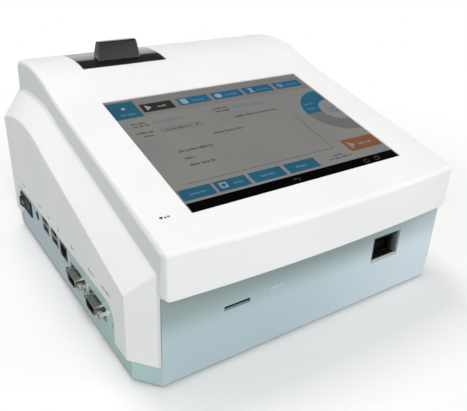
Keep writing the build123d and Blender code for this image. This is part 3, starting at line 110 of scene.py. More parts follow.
def newTree(name, kind, inputs, outputs):
    # group with named sockets; what is given to it comes back with it
    tree = bpy.data.node_groups.new(name, kind + "NodeTree")
    for label, socketKind, *start in inputs:
        socket = tree.interface.new_socket(name=label, in_out="INPUT", socket_type="NodeSocket" + socketKind)
        if start:
            socket.default_value = start[0]
    for label, socketKind in outputs:
        tree.interface.new_socket(name=label, in_out="OUTPUT", socket_type="NodeSocket" + socketKind)
    return tree, addNode(tree, "NodeGroupInput", (-900, 0)).outputs


# shared surface effects

def makeDriftGroup():
    # slow change of tone over a surface, with finer mottling on top
    group, given = newTree("tone drift", "Shader", [
        ("Place", "Vector"), ("Tone", "Color", (0.8, 0.8, 0.8, 1)),
        ("Other tone", "Color", (0.7, 0.7, 0.7, 1)), ("Patch scale", "Float", 14.0),
        ("Mottle scale", "Float", 160.0)], [("Tone", "Color")])
    slow = addNoise(group, (-650, 120), given["Place"], given["Patch scale"], 3.0, 0.55)
    fine = addNoise(group, (-650, -160), given["Place"], given["Mottle scale"], 2.0, 0.6)
    both = addMath(group, "MULTIPLY_ADD", (-420, 0), fine, 0.22, slow)
    spread = addRange(group, (-220, 0), both, 0.40, 0.74)
    mixed = addMix(group, (120, 0), spread, given["Tone"], given["Other tone"])
    addNode(group, "NodeGroupOutput", (600, 0), {"Tone": mixed})
    return group


def makeGrainGroup():
    # spark-eroded mould grain: small rounded cells with a softer noise between them
    group, given = newTree("mould grain", "Shader", [
        ("Place", "Vector"), ("Scale", "Float", 1800.0)], [("Height", "Float")])
    cells = addNode(group, "TexVoronoi", (-600, 120), {
        "Vector": given["Place"], "Scale": given["Scale"]}, feature="SMOOTH_F1")
    soft = addNoise(group, (-600, -160), given["Place"], given["Scale"], 2.0)
    total = addMath(group, "ADD", (-200, 0), cells, soft)
    addNode(group, "NodeGroupOutput", (600, 0), {"Height": addMath(group, "MULTIPLY", (20, 0), total, 0.5)})
    return group


def makeEdgeGroup():
    # 1 along convex and concave edges, broken up where a hand would wear them less; most finishes use it for edge
    # wear, the dark lid for a painted highlight along its edges
    group, given = newTree("rubbed edge", "Shader", [
        ("Place", "Vector"), ("Reach", "Float", 0.0006)], [("Mask", "Float"), ("Rounded", "Vector")])
    rounded = addNode(group, "Bevel", (-700, 200), {"Radius": given["Reach"]}, samples=4)
    true = addNode(group, "NewGeometry", (-700, -40)).outputs["Normal"]
    edge = addRange(group, (-280, 100), addVectorMath(group, "DOT_PRODUCT", (-480, 100), rounded, true), 0.995, 0.80)
    gate = addRange(group, (-280, -180), addNoise(group, (-480, -180), given["Place"], 90.0, 4.0, 0.65), 0.38, 0.62)
    addNode(group, "NodeGroupOutput", (600, 0), {
        "Mask": addMath(group, "MULTIPLY", (0, 0), edge, gate), "Rounded": rounded})
    return group


def makeHandlingGroup():
    # roughness from wiping and handling: long faint streaks and a few duller patches
    group, given = newTree("handling", "Shader", [
        ("Place", "Vector"), ("Smooth", "Float", 0.35), ("Dull", "Float", 0.5), ("Scale", "Float", 22.0)],
        [("Roughness", "Float")])
    stretch = addNode(group, "Mapping", (-700, 100), {"Vector": given["Place"], "Scale": (0.35, 1.0, 1.6)})
    streak = addNoise(group, (-480, 100), stretch, given["Scale"], 5.0, 0.7, 0.4)
    patch = addNoise(group, (-480, -160), given["Place"], 9.0, 2.0)
    both = addMath(group, "ADD", (-240, 0), streak, patch)
    spread = addRange(group, (0, 0), both, 0.75, 1.25, given["Smooth"], given["Dull"])
    addNode(group, "NodeGroupOutput", (600, 0), {"Roughness": spread})
    return group


def makeBrushedGroup():
    # drawn or brushed metal: noise pulled out along one axis
    group, given = newTree("brushed lines", "Shader", [
        ("Place", "Vector"), ("Pull", "Vector", (0.02, 1.0, 1.0)), ("Scale", "Float", 1400.0)],
        [("Height", "Float")])
    pulled = addVectorMath(group, "MULTIPLY", (-640, 0), given["Place"], given["Pull"])
    addNode(group, "NodeGroupOutput", (600, 0), {
        "Height": addNoise(group, (-420, 0), pulled, given["Scale"], 3.0, 0.6)})
    return group


driftGroup = makeDriftGroup()
grainGroup = makeGrainGroup()
edgeGroup = makeEdgeGroup()
handlingGroup = makeHandlingGroup()
brushedGroup = makeBrushedGroup()
print("surface effects made")


# materials

def startMaterial(name):
    material = bpy.data.materials.new(name)
    material.use_nodes = True
    tree = material.node_tree
    tree.nodes.clear()
    shader = addNode(tree, "BsdfPrincipled", (600, 0))
    addNode(tree, "OutputMaterial", (900, 0), {"Surface": shader})
    place = addNode(tree, "TexCoord", (-900, 0)).outputs["Object"]
    return material, tree, shader, place


def findPart(material):
    tree = material.node_tree
    shader = next(node for node in tree.nodes if node.type == "BSDF_PRINCIPLED")
    place = next(node for node in tree.nodes if node.type == "TEX_COORD").outputs["Object"]
    return tree, shader, place


def drifting(tone, otherTone, patch, mottle=160.0):
    return {"Tone": tone, "Other tone": otherTone, "Patch scale": patch, "Mottle scale": mottle}


def makeWornAndHighlighted(name, tones, wiped, edgeLook, relief, depth, shine):
    # shared by plastics and metals: drifting tone, paler edges (edge wear, and a painted highlight on the dark lid),
    # wiped roughness and a fine relief
    edgeWearAndHighlightTone, reach, edgeWearAndHighlight = edgeLook
    reliefGroup, reliefValues = relief
    material, tree, shader, place = startMaterial(name)
    drift = addGroup(tree, driftGroup, (-600, 200), place, tones)
    edge = addGroup(tree, edgeGroup, (-600, -60), place, {"Reach": reach})
    wearAndHighlightMix = addMix(tree, (-160, 160), addMath(tree, "MULTIPLY", (-380, -60), edge, edgeWearAndHighlight), drift, edgeWearAndHighlightTone)
    handling = addGroup(tree, handlingGroup, (-160, -120), place, wiped)
    bump = addNode(tree, "Bump", (340, -320), {
        "Height": addGroup(tree, reliefGroup, (-160, -340), place, reliefValues), "Distance": depth,
        "Normal": edge.outputs["Rounded"]})
    setInputs(tree, shader, {"Base Color": wearAndHighlightMix, "Roughness": handling, "Normal": bump, **shine})
    return material


def makePlastic(name, tone, otherTone, edgeWearAndHighlightTone, smooth, dull, grain=1800.0, depth=0.00002, reach=0.0006,
                patch=14.0, coat=0.0, edgeWearAndHighlight=0.5, specular=0.5):
    return makeWornAndHighlighted(name, drifting(tone, otherTone, patch), {"Smooth": smooth, "Dull": dull},
                    (edgeWearAndHighlightTone, reach, edgeWearAndHighlight), (grainGroup, {"Scale": grain}), depth,
                    {"Coat Weight": coat, "Coat Roughness": 0.12, "Specular IOR Level": specular})


def makeMetal(name, tone, otherTone, smooth, dull, pull=(0.02, 1.0, 1.0), lines=1400.0, reach=0.0003,
              edgeWearAndHighlightTone="#F2F2F0", edgeWearAndHighlight=0.35):
    return makeWornAndHighlighted(name, drifting(tone, otherTone, 40.0, 600.0), {"Smooth": smooth, "Dull": dull, "Scale": 60.0},
                    (edgeWearAndHighlightTone, reach, edgeWearAndHighlight), (brushedGroup, {"Pull": pull, "Scale": lines}), 0.000008,
                    {"Metallic": 1.0})


def tint(tree, shader, at, mask, tone):
    under = shader.inputs["Base Color"].links[0].from_socket
    setInputs(tree, shader, {"Base Color": addMix(tree, at, mask, under, tone)})


def blendAlong(material, tone, amount, *runs):
    # lets the finish run into another tone where every run, an axis with its start and end, lets it
    tree, shader, place = findPart(material)
    high = 480 + 60 * len(tree.nodes)
    split = addNode(tree, "SeparateXYZ", (-160, high), {0: place})
    mask = None
    for step, (axis, start, end) in enumerate(runs):
        run = addRange(tree, (40, high + 60 * step), split.outputs[axis], start, end,
                       toHigh=1.0 if mask else amount, interpolation_type="SMOOTHSTEP")
        mask = addMath(tree, "MULTIPLY", (260, high + 60 * step), mask, run) if mask else run
    tint(tree, shader, (480, high), mask, tone)


def makeLampLens():
    # status light: dark window in a pale rim
    rim = {"middle": (-0.1122, -0.1016, 0), "inner": 0.00115, "outer": 0.00135}
    material = makePlastic("status light lens", "#3E4440", "#363B38", "#5C625E", 0.12, 0.20, coat=0.6, reach=0.0002)
    tree, shader, place = findPart(material)
    away = addDistance(tree, (-380, 520), place, rim["middle"], (1, 1, 0))
    tint(tree, shader, (340, 520), addRange(tree, (160, 520), away, rim["inner"], rim["outer"]), "#D9DAD6")
    return material


def makePrint(name, tone, otherTone, specular=0.16, roughness=0.16, coat=0.0):
    # ink or display colour: an even tone with a faint unevenness
    material, tree, shader, place = startMaterial(name)
    drift = addGroup(tree, driftGroup, (-500, 100), place, drifting(tone, otherTone, 18.0, 260.0))
    grain = addGroup(tree, grainGroup, (-200, -300), place, {"Scale": 2600.0})
    handling = addGroup(tree, handlingGroup, (-200, -100), place, {"Smooth": roughness, "Dull": roughness + 0.12})
    bump = addNode(tree, "Bump", (340, -320), {"Height": grain, "Distance": 0.000004})
    setInputs(tree, shader, {"Base Color": drift, "Roughness": handling, "Normal": bump,
                             "Specular IOR Level": specular, "Coat Weight": coat, "Coat Roughness": 0.08})
    return material


def makeBoardMask():
    # solder mask over copper: a grid of traces that turn at random cells, and tinned via holes
    material, tree, shader, place = startMaterial("circuit board mask")
    drift = addGroup(tree, driftGroup, (-600, 300), place, drifting("#14603A", "#0E4F30", 30.0))
    traces = addNode(tree, "TexBrick", (-600, 0), {
        "Vector": place, "Scale": 260.0, "Mortar Size": 0.012, "Mortar Smooth": 0.2, "Bias": -0.4,
        "Brick Width": 0.9, "Row Height": 0.22}).outputs["Fac"]
    cells = addNode(tree, "TexVoronoi", (-600, -280), {"Vector": place, "Scale": 210.0, "Randomness": 0.55})
    vias = addRange(tree, (-380, -280), cells, 0.13, 0.10)
    traced = addMix(tree, (-160, 160), traces, drift, "#2A8455")
    bump = addNode(tree, "Bump", (340, -320), {
        "Height": addMath(tree, "MAXIMUM", (80, -200), traces, vias), "Distance": 0.00004})
    setInputs(tree, shader, {"Base Color": addMix(tree, (80, 160), vias, traced, "#B9B49A"),
                             "Normal": bump, "Roughness": 0.32, "Coat Weight": 0.25})
    return material


def makePaper():
    # thermal paper: fine windings round the roll's axis show on its sides, the face has faint fibres
    roll = {"axis": (0, -0.026, 0.1168), "turns": 9000.0, "shade": 0.35}
    material, tree, shader, place = startMaterial("thermal paper")
    drift = addGroup(tree, driftGroup, (-600, 200), place, drifting("#F3F2EC", "#E7E5DA", 60.0, 900.0))
    fibres = addNoise(tree, (-600, -200), place, 1500.0, 3.0)
    away = addDistance(tree, (-800, 480), place, roll["axis"], (0, 1, 1))
    turns = addMath(tree, "MULTIPLY", (-260, 480), away, roll["turns"])
    soft = addRange(tree, (100, 480), addMath(tree, "SINE", (-80, 480), turns), -1.0, 1.0, toHigh=roll["shade"])
    bump = addNode(tree, "Bump", (340, -320), {"Height": fibres, "Distance": 0.00003})
    setInputs(tree, shader, {"Base Color": addMix(tree, (280, 300), soft, drift, "#BDBBAF"),
                             "Normal": bump, "Roughness": 0.62, "Specular IOR Level": 0.3})
    return material


def makeLensGlass():
    material, tree, shader, place = startMaterial("objective glass")
    handling = addGroup(tree, handlingGroup, (-200, -100), place, {"Smooth": 0.04, "Dull": 0.12})
    setInputs(tree, shader, {"Base Color": "#BFD4DE", "Roughness": handling, "Alpha": 0.55,
                             "Coat Weight": 1.0, "Coat Roughness": 0.03})
    return material


finish = {
    "shell": makePlastic("white shell plastic", "#F1F1F0", "#ECEDEC", "#F8F8F6", 0.50, 0.60, depth=0.000012,
                         reach=0.0008, edgeWearAndHighlight=0.4, specular=0.28),
    "base": makePlastic("blue base plastic", "#B4C7CE", "#B1C6CA", "#CAD8DC", 0.34, 0.46, depth=0.000012,
                        reach=0.0005, edgeWearAndHighlight=0.35),
    "panel": makePlastic("port panel plastic", "#C6D2D8", "#BFCDD2", "#D3DEE2", 0.36, 0.48, depth=0.000012,
                         reach=0.0005, edgeWearAndHighlight=0.35),
    # its pale edge tone is a painted highlight along the edges of the lid and its grip
    "lid": makePlastic("dark lid plastic", "#1A1A1B", "#1E1E1F", "#A2A2A2", 0.05, 0.09, depth=0.0000015,
                       reach=0.0010, edgeWearAndHighlight=0.9, specular=0.45, coat=0.7),
    "black": makePlastic("black plastic", "#141415", "#1B1B1C", "#3E3E3E", 0.42, 0.58, reach=0.0003),
    "sleeve": makePlastic("port sleeve plastic", "#C4C4BF", "#BBBAB3", "#CDCCC6", 0.50, 0.62, reach=0.0004,
                          specular=0.3),
    "tray": makePlastic("cassette tray plastic", "#060607", "#09090A", "#1C1C1D", 0.45, 0.58, reach=0.0004,
                        specular=0.2),
    "grey": makePlastic("printer frame plastic", "#8A8D8C", "#818483", "#A4A6A4", 0.48, 0.60, reach=0.0004),
    "rubber": makePlastic("black rubber", "#17181A", "#212225", "#303236", 0.72, 0.86, grain=900.0,
                          depth=0.00005, reach=0.0004, specular=0.3),
    "gear": makePlastic("gear plastic", "#E6E2D4", "#DAD5C4", "#F2EFE6", 0.36, 0.48, reach=0.0002),
    "light": makeLampLens(),
    "paper": makePaper(),
    "board": makeBoardMask(),
    "sheetSteel": makeMetal("zinc plated sheet", "#A9ABAE", "#9A9DA1", 0.30, 0.46),
    "steel": makeMetal("turned steel", "#B4B5B7", "#A2A4A6", 0.22, 0.36, pull=(1.0, 1.0, 0.02)),
    "nickel": makeMetal("nickel plate", "#A3A29C", "#95948E", 0.20, 0.36, lines=900.0),
    "brightNickel": makeMetal("bright nickel plate", "#E4E2DC", "#D5D3CC", 0.14, 0.26, lines=900.0),
    "tin": makeMetal("tinned shield", "#BDBDBB", "#ABABA8", 0.26, 0.42),
    "brass": makeMetal("brass standoff", "#C9A65E", "#B8934C", 0.26, 0.42),
    "gold": makeMetal("gold contact", "#7F6E4A", "#6E5F40", 0.26, 0.38, reach=0.0001, edgeWearAndHighlight=0.1),
    "recess": makePlastic("screw recess shadow", "#1A1B1D", "#222326", "#303236", 0.5, 0.6, reach=0.0001,
                          specular=0.2),
    "chip": makePlastic("chip package", "#1D1E20", "#252628", "#3A3B3E", 0.42, 0.52, reach=0.0002),
    "passive": makePlastic("small board part", "#8C7A5C", "#5E5A54", "#B0A78F", 0.40, 0.52, patch=900.0,
                           reach=0.0001),
    "aluminium": makeMetal("black anodised aluminium", "#3B3D40", "#2F3134", 0.42, 0.56, edgeWearAndHighlightTone="#9A9C9E"),
    "blackMetal": makeMetal("black painted metal", "#2A2B2D", "#1F2022", 0.40, 0.55, edgeWearAndHighlightTone="#77787A"),
    "lens": makeLensGlass(),
    "greenLamp": makePlastic("green lamp lens", "#3E8B4E", "#35793F", "#6FB47E", 0.15, 0.25, coat=0.8,
                             reach=0.0002),
    "amberLamp": makePlastic("amber lamp lens", "#C98A2B", "#B97C24", "#E0AC5C", 0.15, 0.25, coat=0.8,
                             reach=0.0002),
    "markGrey": makePrint("grey printing ink", "#5C5E60", "#66686A", roughness=0.5),
    "markFaint": makePrint("faint printing ink", "#9FA1A2", "#A8AAAB", roughness=0.5),
    "markPale": makePrint("pale printing ink", "#C3CED2", "#BAC6CA", roughness=0.5),
    "markWhite": makePrint("white printing ink", "#DADCDC", "#CFD1D1", roughness=0.5),
    "glass": makePrint("dark cover glass", "#0C0E10", "#101316", roughness=0.10, coat=0.8),
}

# other tones on these finishes, each with its amount and the runs that let it in
blends = {
    # painted shade: a little greyer down the wall between the screen housing and the left wing
    "shell": [("#DADCDC", 0.9, ("X", -0.1276, -0.1262), ("X", -0.1230, -0.1246))],
    # paler towards the right end, painted light; greener at the left; a darker, greener band under the overhang,
    # painted shade, fading out to the right
    "base": [("#D6E2EA", 0.85, ("X", -0.06, 0.13)),
             ("#B3CFCB", 0.85, ("X", -0.118, -0.137), ("Y", 0.04, -0.09)),
             ("#8FA19F", 0.95, ("Z", 0.036, 0.061), ("X", 0.22, 0.02)),
             # code-chip slot: painted shade, grey on the bevel and dark on the walls inside
             ("#7C8D90", 1.0, ("Y", -0.12495, -0.1248), ("X", -0.0812, -0.0808), ("X", -0.0572, -0.0576),
              ("Z", 0.0438, 0.0440), ("Z", 0.0498, 0.0496)),
             ("#0B0D0E", 1.0, ("Y", -0.1240, -0.1236), ("X", -0.0800, -0.0798), ("X", -0.0585, -0.0587),
              ("Z", 0.0452, 0.0454), ("Z", 0.0484, 0.0482))],
    # greener towards the front end
    "panel": [("#B6D2CC", 0.9, ("Y", 0.04, -0.09))],
    # painted shade inside the port: black on the upper walls, grey on the right wall, both running to black further
    # in; the bottom lip keeps the pale sleeve tone
    "sleeve": [("#0E0D0C", 1.0, ("Y", -0.1240, -0.1228)),
               ("#080809", 1.0, ("Z", 0.0381, 0.0384)),
               ("#77787A", 1.0, ("X", 0.0812, 0.0816), ("Z", 0.0379, 0.0383)),
               ("#151311", 1.0, ("Y", -0.1240, -0.1175), ("X", 0.0812, 0.0816))],
}

for kind, tones in blends.items():
    for tone, amount, *runs in tones:
        blendAlong(finish[kind], tone, amount, *runs)
print("materials made:", len(finish))


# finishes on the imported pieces

nodeFinish = {
    "shell": "top_shell",
    "base": "base_tray",
    "panel": "port_panel",
    "lid": "printer_door",
    "black": "switch_housing power_rocker dc_jack lan_jack serial_inserts chip_socket",
    "sleeve": "port_bezel",
    "tray": "cassette_tray",
    "grey": "printer_frame",
    "rubber": "rubber_feet platen_roller",
    "gear": "platen_gear drive_pinion",
    "light": "status_light",
    "paper": "paper_roll",
    "board": "main_board chip_board detector_module",
    "sheetSteel": "display_bracket stage_frame optics_bridge display_module printer_motor",
    "steel": "case_screws display_screws board_screws printer_screws "
             "door_hinge_pin platen_shaft guide_rods motor_shaft tear_bar",
    "nickel": "serial_port_rear serial_port_front",
    "brightNickel": "serial_jackscrews",
    "tin": "usb_stack_rear usb_stack_front",
    "brass": "standoffs",
    "aluminium": "heat_sink lamp_tube",
    "blackMetal": "stage_motor optics_housing print_head",
    "lens": "objective_lens",
    "glass": "touch_panel",
}

for kind, names in nodeFinish.items():
    for name in names.split():
        nodes[name].data.materials.clear()
        nodes[name].data.materials.append(finish[kind])
print("finishes set on the packed pieces")


# shapes, in millimetres until they are placed

def flatOn(origin, across, up, out):
    # place of a drawing on a flat face, with its lift above the face, rounded only once
    axes = tuple(zip(origin, across, up, out))
    return lambda u, v, lift: Vector([(start + a * u + b * v + c * lift) * mm for start, a, b, c in axes])


level = flatOn((0, 0, 0), (1, 0, 0), (0, 1, 0), (0, 0, 1))
onEdge = flatOn((0, 0, 0), (1, 0, 0), (0, 0, 1), (0, 1, 0))


def addPrism(bm, outline, low, high, place):
    # closed flat prism from an outline in two coordinates
    bottom = [bm.verts.new(place(u, v, low)) for u, v in outline]
    top = [bm.verts.new(place(u, v, high)) for u, v in outline]
    bm.faces.new(bottom[::-1])
    bm.faces.new(top)
    for i in range(len(outline)):
        j = (i + 1) % len(outline)
        bm.faces.new((bottom[i], bottom[j], top[j], top[i]))


def turned(bm, profile, steps, tube=False):
    # turned shape from radius and height pairs: closed on its axis, or a tube whose last ring meets the first
    rings = []
    for radius, height in profile:
        turns = [2 * math.pi * i / steps for i in range(steps if radius else 1)]
        rings.append([bm.verts.new((radius * mm * math.cos(t), radius * mm * math.sin(t), height * mm))
                      for t in turns])
    for low, high in zip(rings, rings[1:] + rings[:1] if tube else rings[1:]):
        for i in range(steps):
            j = (i + 1) % steps
            corners = (low[i % len(low)], low[j % len(low)], high[j % len(high)], high[i % len(high)])
            bm.faces.new(list(dict.fromkeys(corners)))


def brick(bm, x0, x1, y0, y1, z0, z1):
    addPrism(bm, rectangle(x0, y0, x1, y1), z0, z1, level)


def rectangle(u0, v0, u1, v1, corner=0.0, steps=4):
    if corner <= 0:
        return [(u0, v0), (u1, v0), (u1, v1), (u0, v1)]
    points = []
    for cu, cv, turn in ((u1 - corner, v0 + corner, -90), (u1 - corner, v1 - corner, 0),
                         (u0 + corner, v1 - corner, 90), (u0 + corner, v0 + corner, 180)):
        for step in range(steps + 1):
            angle = math.radians(turn + 90 * step / steps)
            points.append((cu + corner * math.cos(angle), cv + corner * math.sin(angle)))
    return points


def circle(u, v, radius, steps, turn=0.0):
    turns = [turn + 2 * math.pi * i / steps for i in range(steps)]
    return [(u + radius * math.cos(t), v + radius * math.sin(t)) for t in turns]


def band(u, v, inner, outer, start, end, limit=None, steps=28):
    # part of a ring between two angles in degrees, cut off at a limit to its right
    def along(radius, t):
        low, high = start, end
        if limit is not None:
            free = math.degrees(math.acos(max(-1.0, min(1.0, (limit - u) / radius))))
            low, high = max(start, free), min(end, 360 - free)
        angle = math.radians(low + (high - low) * t)
        return (u + radius * math.cos(angle), v + radius * math.sin(angle))
    out = [along(outer, i / steps) for i in range(steps + 1)]
    return out + [along(inner, 1 - i / steps) for i in range(steps + 1)]


def stroke(points, width):
    # thin line along points, as one mitred outline
    left, right = [], []
    for i, point in enumerate(points):
        before, after = Vector(points[max(i - 1, 0)]), Vector(points[min(i + 1, len(points) - 1)])
        along = (after - before).normalized()
        side = Vector((-along.y, along.x)) * width / 2
        left.append(tuple(Vector(point) + side))
        right.append(tuple(Vector(point) - side))
    return right + left[::-1]


def wordBars(u0, u1, v, height, seed):
    # greeked text: short bars of uneven length and height, no letters
    chance = random.Random(seed)
    bars = []
    u, letters = u0, chance.randint(3, 8)
    while u < u1 - 0.6:
        length = min(chance.uniform(0.55, 1.15), u1 - u)
        rise = height * chance.choice((0.66, 0.66, 0.7, 1.0))
        bars.append(rectangle(u, v, u + length, v + rise))
        letters -= 1
        u += length + (0.34 if letters else 1.3)
        letters = letters or chance.randint(3, 8)
    return bars


# pieces made here

def addObject(name, data):
    obj = bpy.data.objects.new(name, data)
    scene.collection.objects.link(obj)
    return obj


def meshFrom(name, build, *values, materials=()):
    mesh = bpy.data.meshes.new(name)
    for material in materials:
        mesh.materials.append(material)
    bm = bmesh.new()
    build(bm, *values)
    bmesh.ops.recalc_face_normals(bm, faces=bm.faces)
    bm.to_mesh(mesh)
    bm.free()
    return mesh


def flatMesh(name, fields, height):
    # flat four-sided faces at one height, each given by two opposite corners
    corners = [(x * mm, y * mm, height * mm) for field in fields for x, y in rectangle(*field)]
    mesh = bpy.data.meshes.new(name)
    mesh.from_pydata(corners, [], [list(range(first, first + 4)) for first in range(0, len(corners), 4)])
    return mesh


def finishPiece(name, build, body, *materials, slot=None):
    obj = addObject(name, meshFrom(name, build, materials=materials))
    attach(obj, body)
    return obj


# screen picture, drawn on the glass in the sloping deck

deck = {"front": -125.0, "edge": 107.4, "tilt": math.radians(12.5)}
screen = {"back": 20.0, "glass": -1.0, "foot": 0.004, "width": 185.0, "height": 138.75}
# layers of the picture: lift, ink, its two tones, and its specular where that differs
pictureLayers = {
    "page": (0.012, "page grey", "#807F7B", "#7A7A78"),
    "band": (0.020, "band grey", "#787673", "#757472"),
    "blue": (0.030, "blue", "#285F7E", "#245877"),
    "teal": (0.030, "teal", "#265C72", "#22546B"),
    "dark": (0.030, "dark tab", "#2C2A29", "#343130"),
    "black": (0.030, "black bar", "#030304", "#050506", 0.04),
    "orange": (0.030, "orange", "#7F543A", "#784E35"),
    "grey": (0.030, "ring grey", "#6A6A6A", "#646566"),
    "field": (0.024, "field grey", "#797874", "#737270"),
    "white": (0.040, "white", "#929CA3", "#868F97"),
    "pale": (0.040, "pale line", "#838485", "#7C7D7E"),
    "ink": (0.040, "ink", "#474745", "#4E4D4B"),
    "faint": (0.040, "faint ink", "#5D7F90", "#557789"),
}


def onDeck(u, back, lift=0.0):
    # place of a drawing on the deck, so far right of the middle, behind the front face and over the deck
    sine, cosine = math.sin(deck["tilt"]), math.cos(deck["tilt"])
    origin = (u, deck["front"] + back - lift * sine, deck["edge"] + back * sine / cosine + lift * cosine)
    return flatOn(origin, (1, 0, 0), (0, cosine, sine), (0, -sine, cosine))


def makeScreenPicture():
    w, h = screen["width"] / 2, screen["height"]
    place = onDeck(0, screen["back"], screen["glass"])
    shapes = {key: [] for key in pictureLayers}

    def draw(key, *outlines):
        shapes[key] += outlines

    def write(key, *words):
        # each word by its left and right end, foot, height and seed
        for word in words:
            shapes[key] += wordBars(*word)

    draw("page", rectangle(-w, 0, w, h))
    draw("band", rectangle(-w, 113.5, w, h))
    draw("field", rectangle(-w, 112.9, w, 113.3))
    draw("black", rectangle(-w, 0, w, 10))
    draw("white", rectangle(-w + 0.3, 0, -w + 1.3, 12))
    draw("pale", rectangle(-w + 1.3, 10, 22.8, 10.8))
    # home tile with a house over a greeked word
    draw("teal", rectangle(-91.4, 112.8, -69.2, 136))
    draw("white", [(-82, 125), (-78.8, 125), (-78.8, 127.2), (-80.4, 129.2), (-82, 127.2)])
    write("faint", (-86, -74, 117.2, 2.2, 3))
    # tabs along the top and their signs: arrow, sheet, disc, hourglass and cog wheel
    draw("dark", rectangle(-67, 117.3, -39.7, 129, 0.8))
    draw("white", [(-63.2, 119.6), (-58.4, 123.3), (-63.2, 127)])
    write("pale", (-53.5, -45.5, 121.8, 2.6, 5))
    for index, (left, right) in enumerate(((-35, -6.4), (-3.2, 25), (28, 56.7), (60.3, 88.2))):
        draw("blue", rectangle(left, 118.4, right, 129, 0.8))
        write("faint", (left + 12.5, right - 4, 122, 2.6, 7 + index))
    draw("white", rectangle(-32.2, 120.3, -26.6, 127.3, 0.6), circle(2.6, 123.8, 3.2, 24),
         [(32.4, 120.4), (38.2, 120.4), (35.9, 123.8), (38.2, 127.2), (32.4, 127.2), (34.7, 123.8)])
    for step, (u, v) in enumerate(circle(66.2, 123.8, 2.5, 8)):
        draw("white", circle(u, v, 0.9, 4, math.pi / 4 * (step + 1)))
    draw("white", band(66.2, 123.8, 1.2, 2.5, 0.5, 359.5))
    # ring with its pale middle
    draw("blue", band(91.5, 75.3, 15.8, 31.3, 88, 180, w))
    draw("grey", band(91.5, 75.3, 15.8, 31.3, 180, 272, w))
    draw("pale", band(91.5, 75.3, 0.4, 15.2, 86, 274, w))
    write("ink", (80.5, 91.5, 76.8, 2.4, 21), (82, 91.5, 72, 2.4, 22))
    write("faint", (66, 76, 88, 2.2, 23), (64, 72, 81, 2.2, 24))
    # start button
    draw("orange", rectangle(59, 19, w - 0.2, 34, 0.6))
    draw("pale", [(62.5, 21.6), (68.6, 26.5), (62.5, 31.4)])
    write("pale", (71.5, 86, 24.8, 2.8, 25))
    # form: labels, lines, list box and headings
    write("ink", (-84, -73, 103.6, 2.4, 31), (-84, -71.5, 100, 2.4, 32), (-86, -72, 91, 2.4, 33),
          (-82, -74, 86.6, 2.4, 34), (-13.7, 1.5, 105.2, 2.4, 35), (-13.7, 0.5, 100.9, 2.4, 36),
          (-2.3, 39.3, 89.8, 2.8, 37), (-30.8, -4, 74.6, 2.6, 38), (-67.7, -39.4, 61.4, 2.8, 39),
          (-67.5, -58.9, 52.6, 2.6, 40), (-67.7, -47.4, 44.6, 2.8, 41), (40, 50, 18.6, 2, 42),
          (33.5, 57, 15.2, 2, 43))
    write("faint", (-67, -43, 103.2, 2.4, 44), (6, 32, 104.4, 2.2, 45))
    draw("ink", rectangle(-69, 101.6, -40.5, 101.95), rectangle(4.7, 102.9, 34.5, 103.2))
    draw("field", rectangle(-67, 87.3, -30.5, 94.7, 1.2))
    draw("ink", [(-37.6, 92), (-36.2, 89.9), (-34.8, 92)])
    write("ink", (-63, -42, 89.8, 2.3, 46))
    draw("ink", rectangle(47.3, 28, 47.7, 79), rectangle(-81, 27.8, 48, 28.2))
    # buttons along the bottom, the second with a small frame before its word
    for seed, left, right in ((50, -90.5, -66), (None, -64, -38.4), (52, -35.6, -8.2), (53, -5, 22.8)):
        draw("teal", rectangle(left, 12.4, right, 23.4, 0.6))
        if seed:
            write("faint", ((left + right) / 2 - 6, (left + right) / 2 + 6, 16.6, 2.4, seed))
    draw("white", rectangle(-60.6, 15.6, -55, 16.8), rectangle(-60.6, 20, -55, 21.2),
         rectangle(-60.6, 16.8, -59.4, 20), rectangle(-56.2, 16.8, -55, 20))
    write("faint", (-50.5, -43, 16.8, 2.4, 57))
    # keys in the black bar: back arrow, home outline and a pair of boxes
    for line in ([(-8.4, 5.2), (-6.6, 7), (-6.6, 5.9), (-3.6, 5.9), (-3, 4.6), (-4.2, 3.4)],
                 [(59, 3.4), (59, 5.6), (61, 7.4), (63, 5.6), (63, 3.4), (59, 3.4)],
                 [(70, 3.4), (70, 6.4), (73.4, 6.4), (73.4, 3.4), (70, 3.4)],
                 [(71.4, 6.6), (71.4, 7.6), (74.8, 7.6), (74.8, 4.6), (73.6, 4.6)]):
        draw("ink", stroke(line, 0.5))

    def build(bm):
        for index, (key, outlines) in enumerate(shapes.items()):
            known = len(bm.faces)
            for outline in outlines:
                addPrism(bm, outline, screen["foot"], pictureLayers[key][0], place)
            bm.faces.ensure_lookup_table()
            for face in bm.faces[known:]:
                face.material_index = index

    inks = [makePrint("screen " + label, *look) for lift, label, *look in pictureLayers.values()]
    finishPiece("screen_picture", build, "case", *inks, slot="screen_glass")


makeScreenPicture()
print("screen picture made")


# small parts made once and set in place with geometry nodes

def keepResult(obj):
    graph = bpy.context.evaluated_depsgraph_get()
    result = bpy.data.meshes.new_from_object(obj.evaluated_get(graph))
    result.name = obj.name
    obj.modifiers.clear()
    obj.data = result


def softEdges(obj, width):
    # rounds the edges of a made piece for good
    modifier = obj.modifiers.new("soft edges", "BEVEL")
    modifier.width = width * mm
    modifier.segments = 2
    modifier.limit_method = "ANGLE"
    modifier.angle_limit = math.radians(35)
    keepResult(obj)


def endTree(tree, given, values):
    # sets the part on every point, makes the copies real and paints them
    place = addNode(tree, "GeometryNodeInstanceOnPoints", (-280, 0), values)
    real = addNode(tree, "GeometryNodeRealizeInstances", (-40, 0), {"Geometry": place})
    painted = addNode(tree, "GeometryNodeSetMaterial", (200, 0), {"Geometry": real, "Material": given["Finish"]})
    addNode(tree, "NodeGroupOutput", (440, 0), {"Geometry": painted})
    return tree


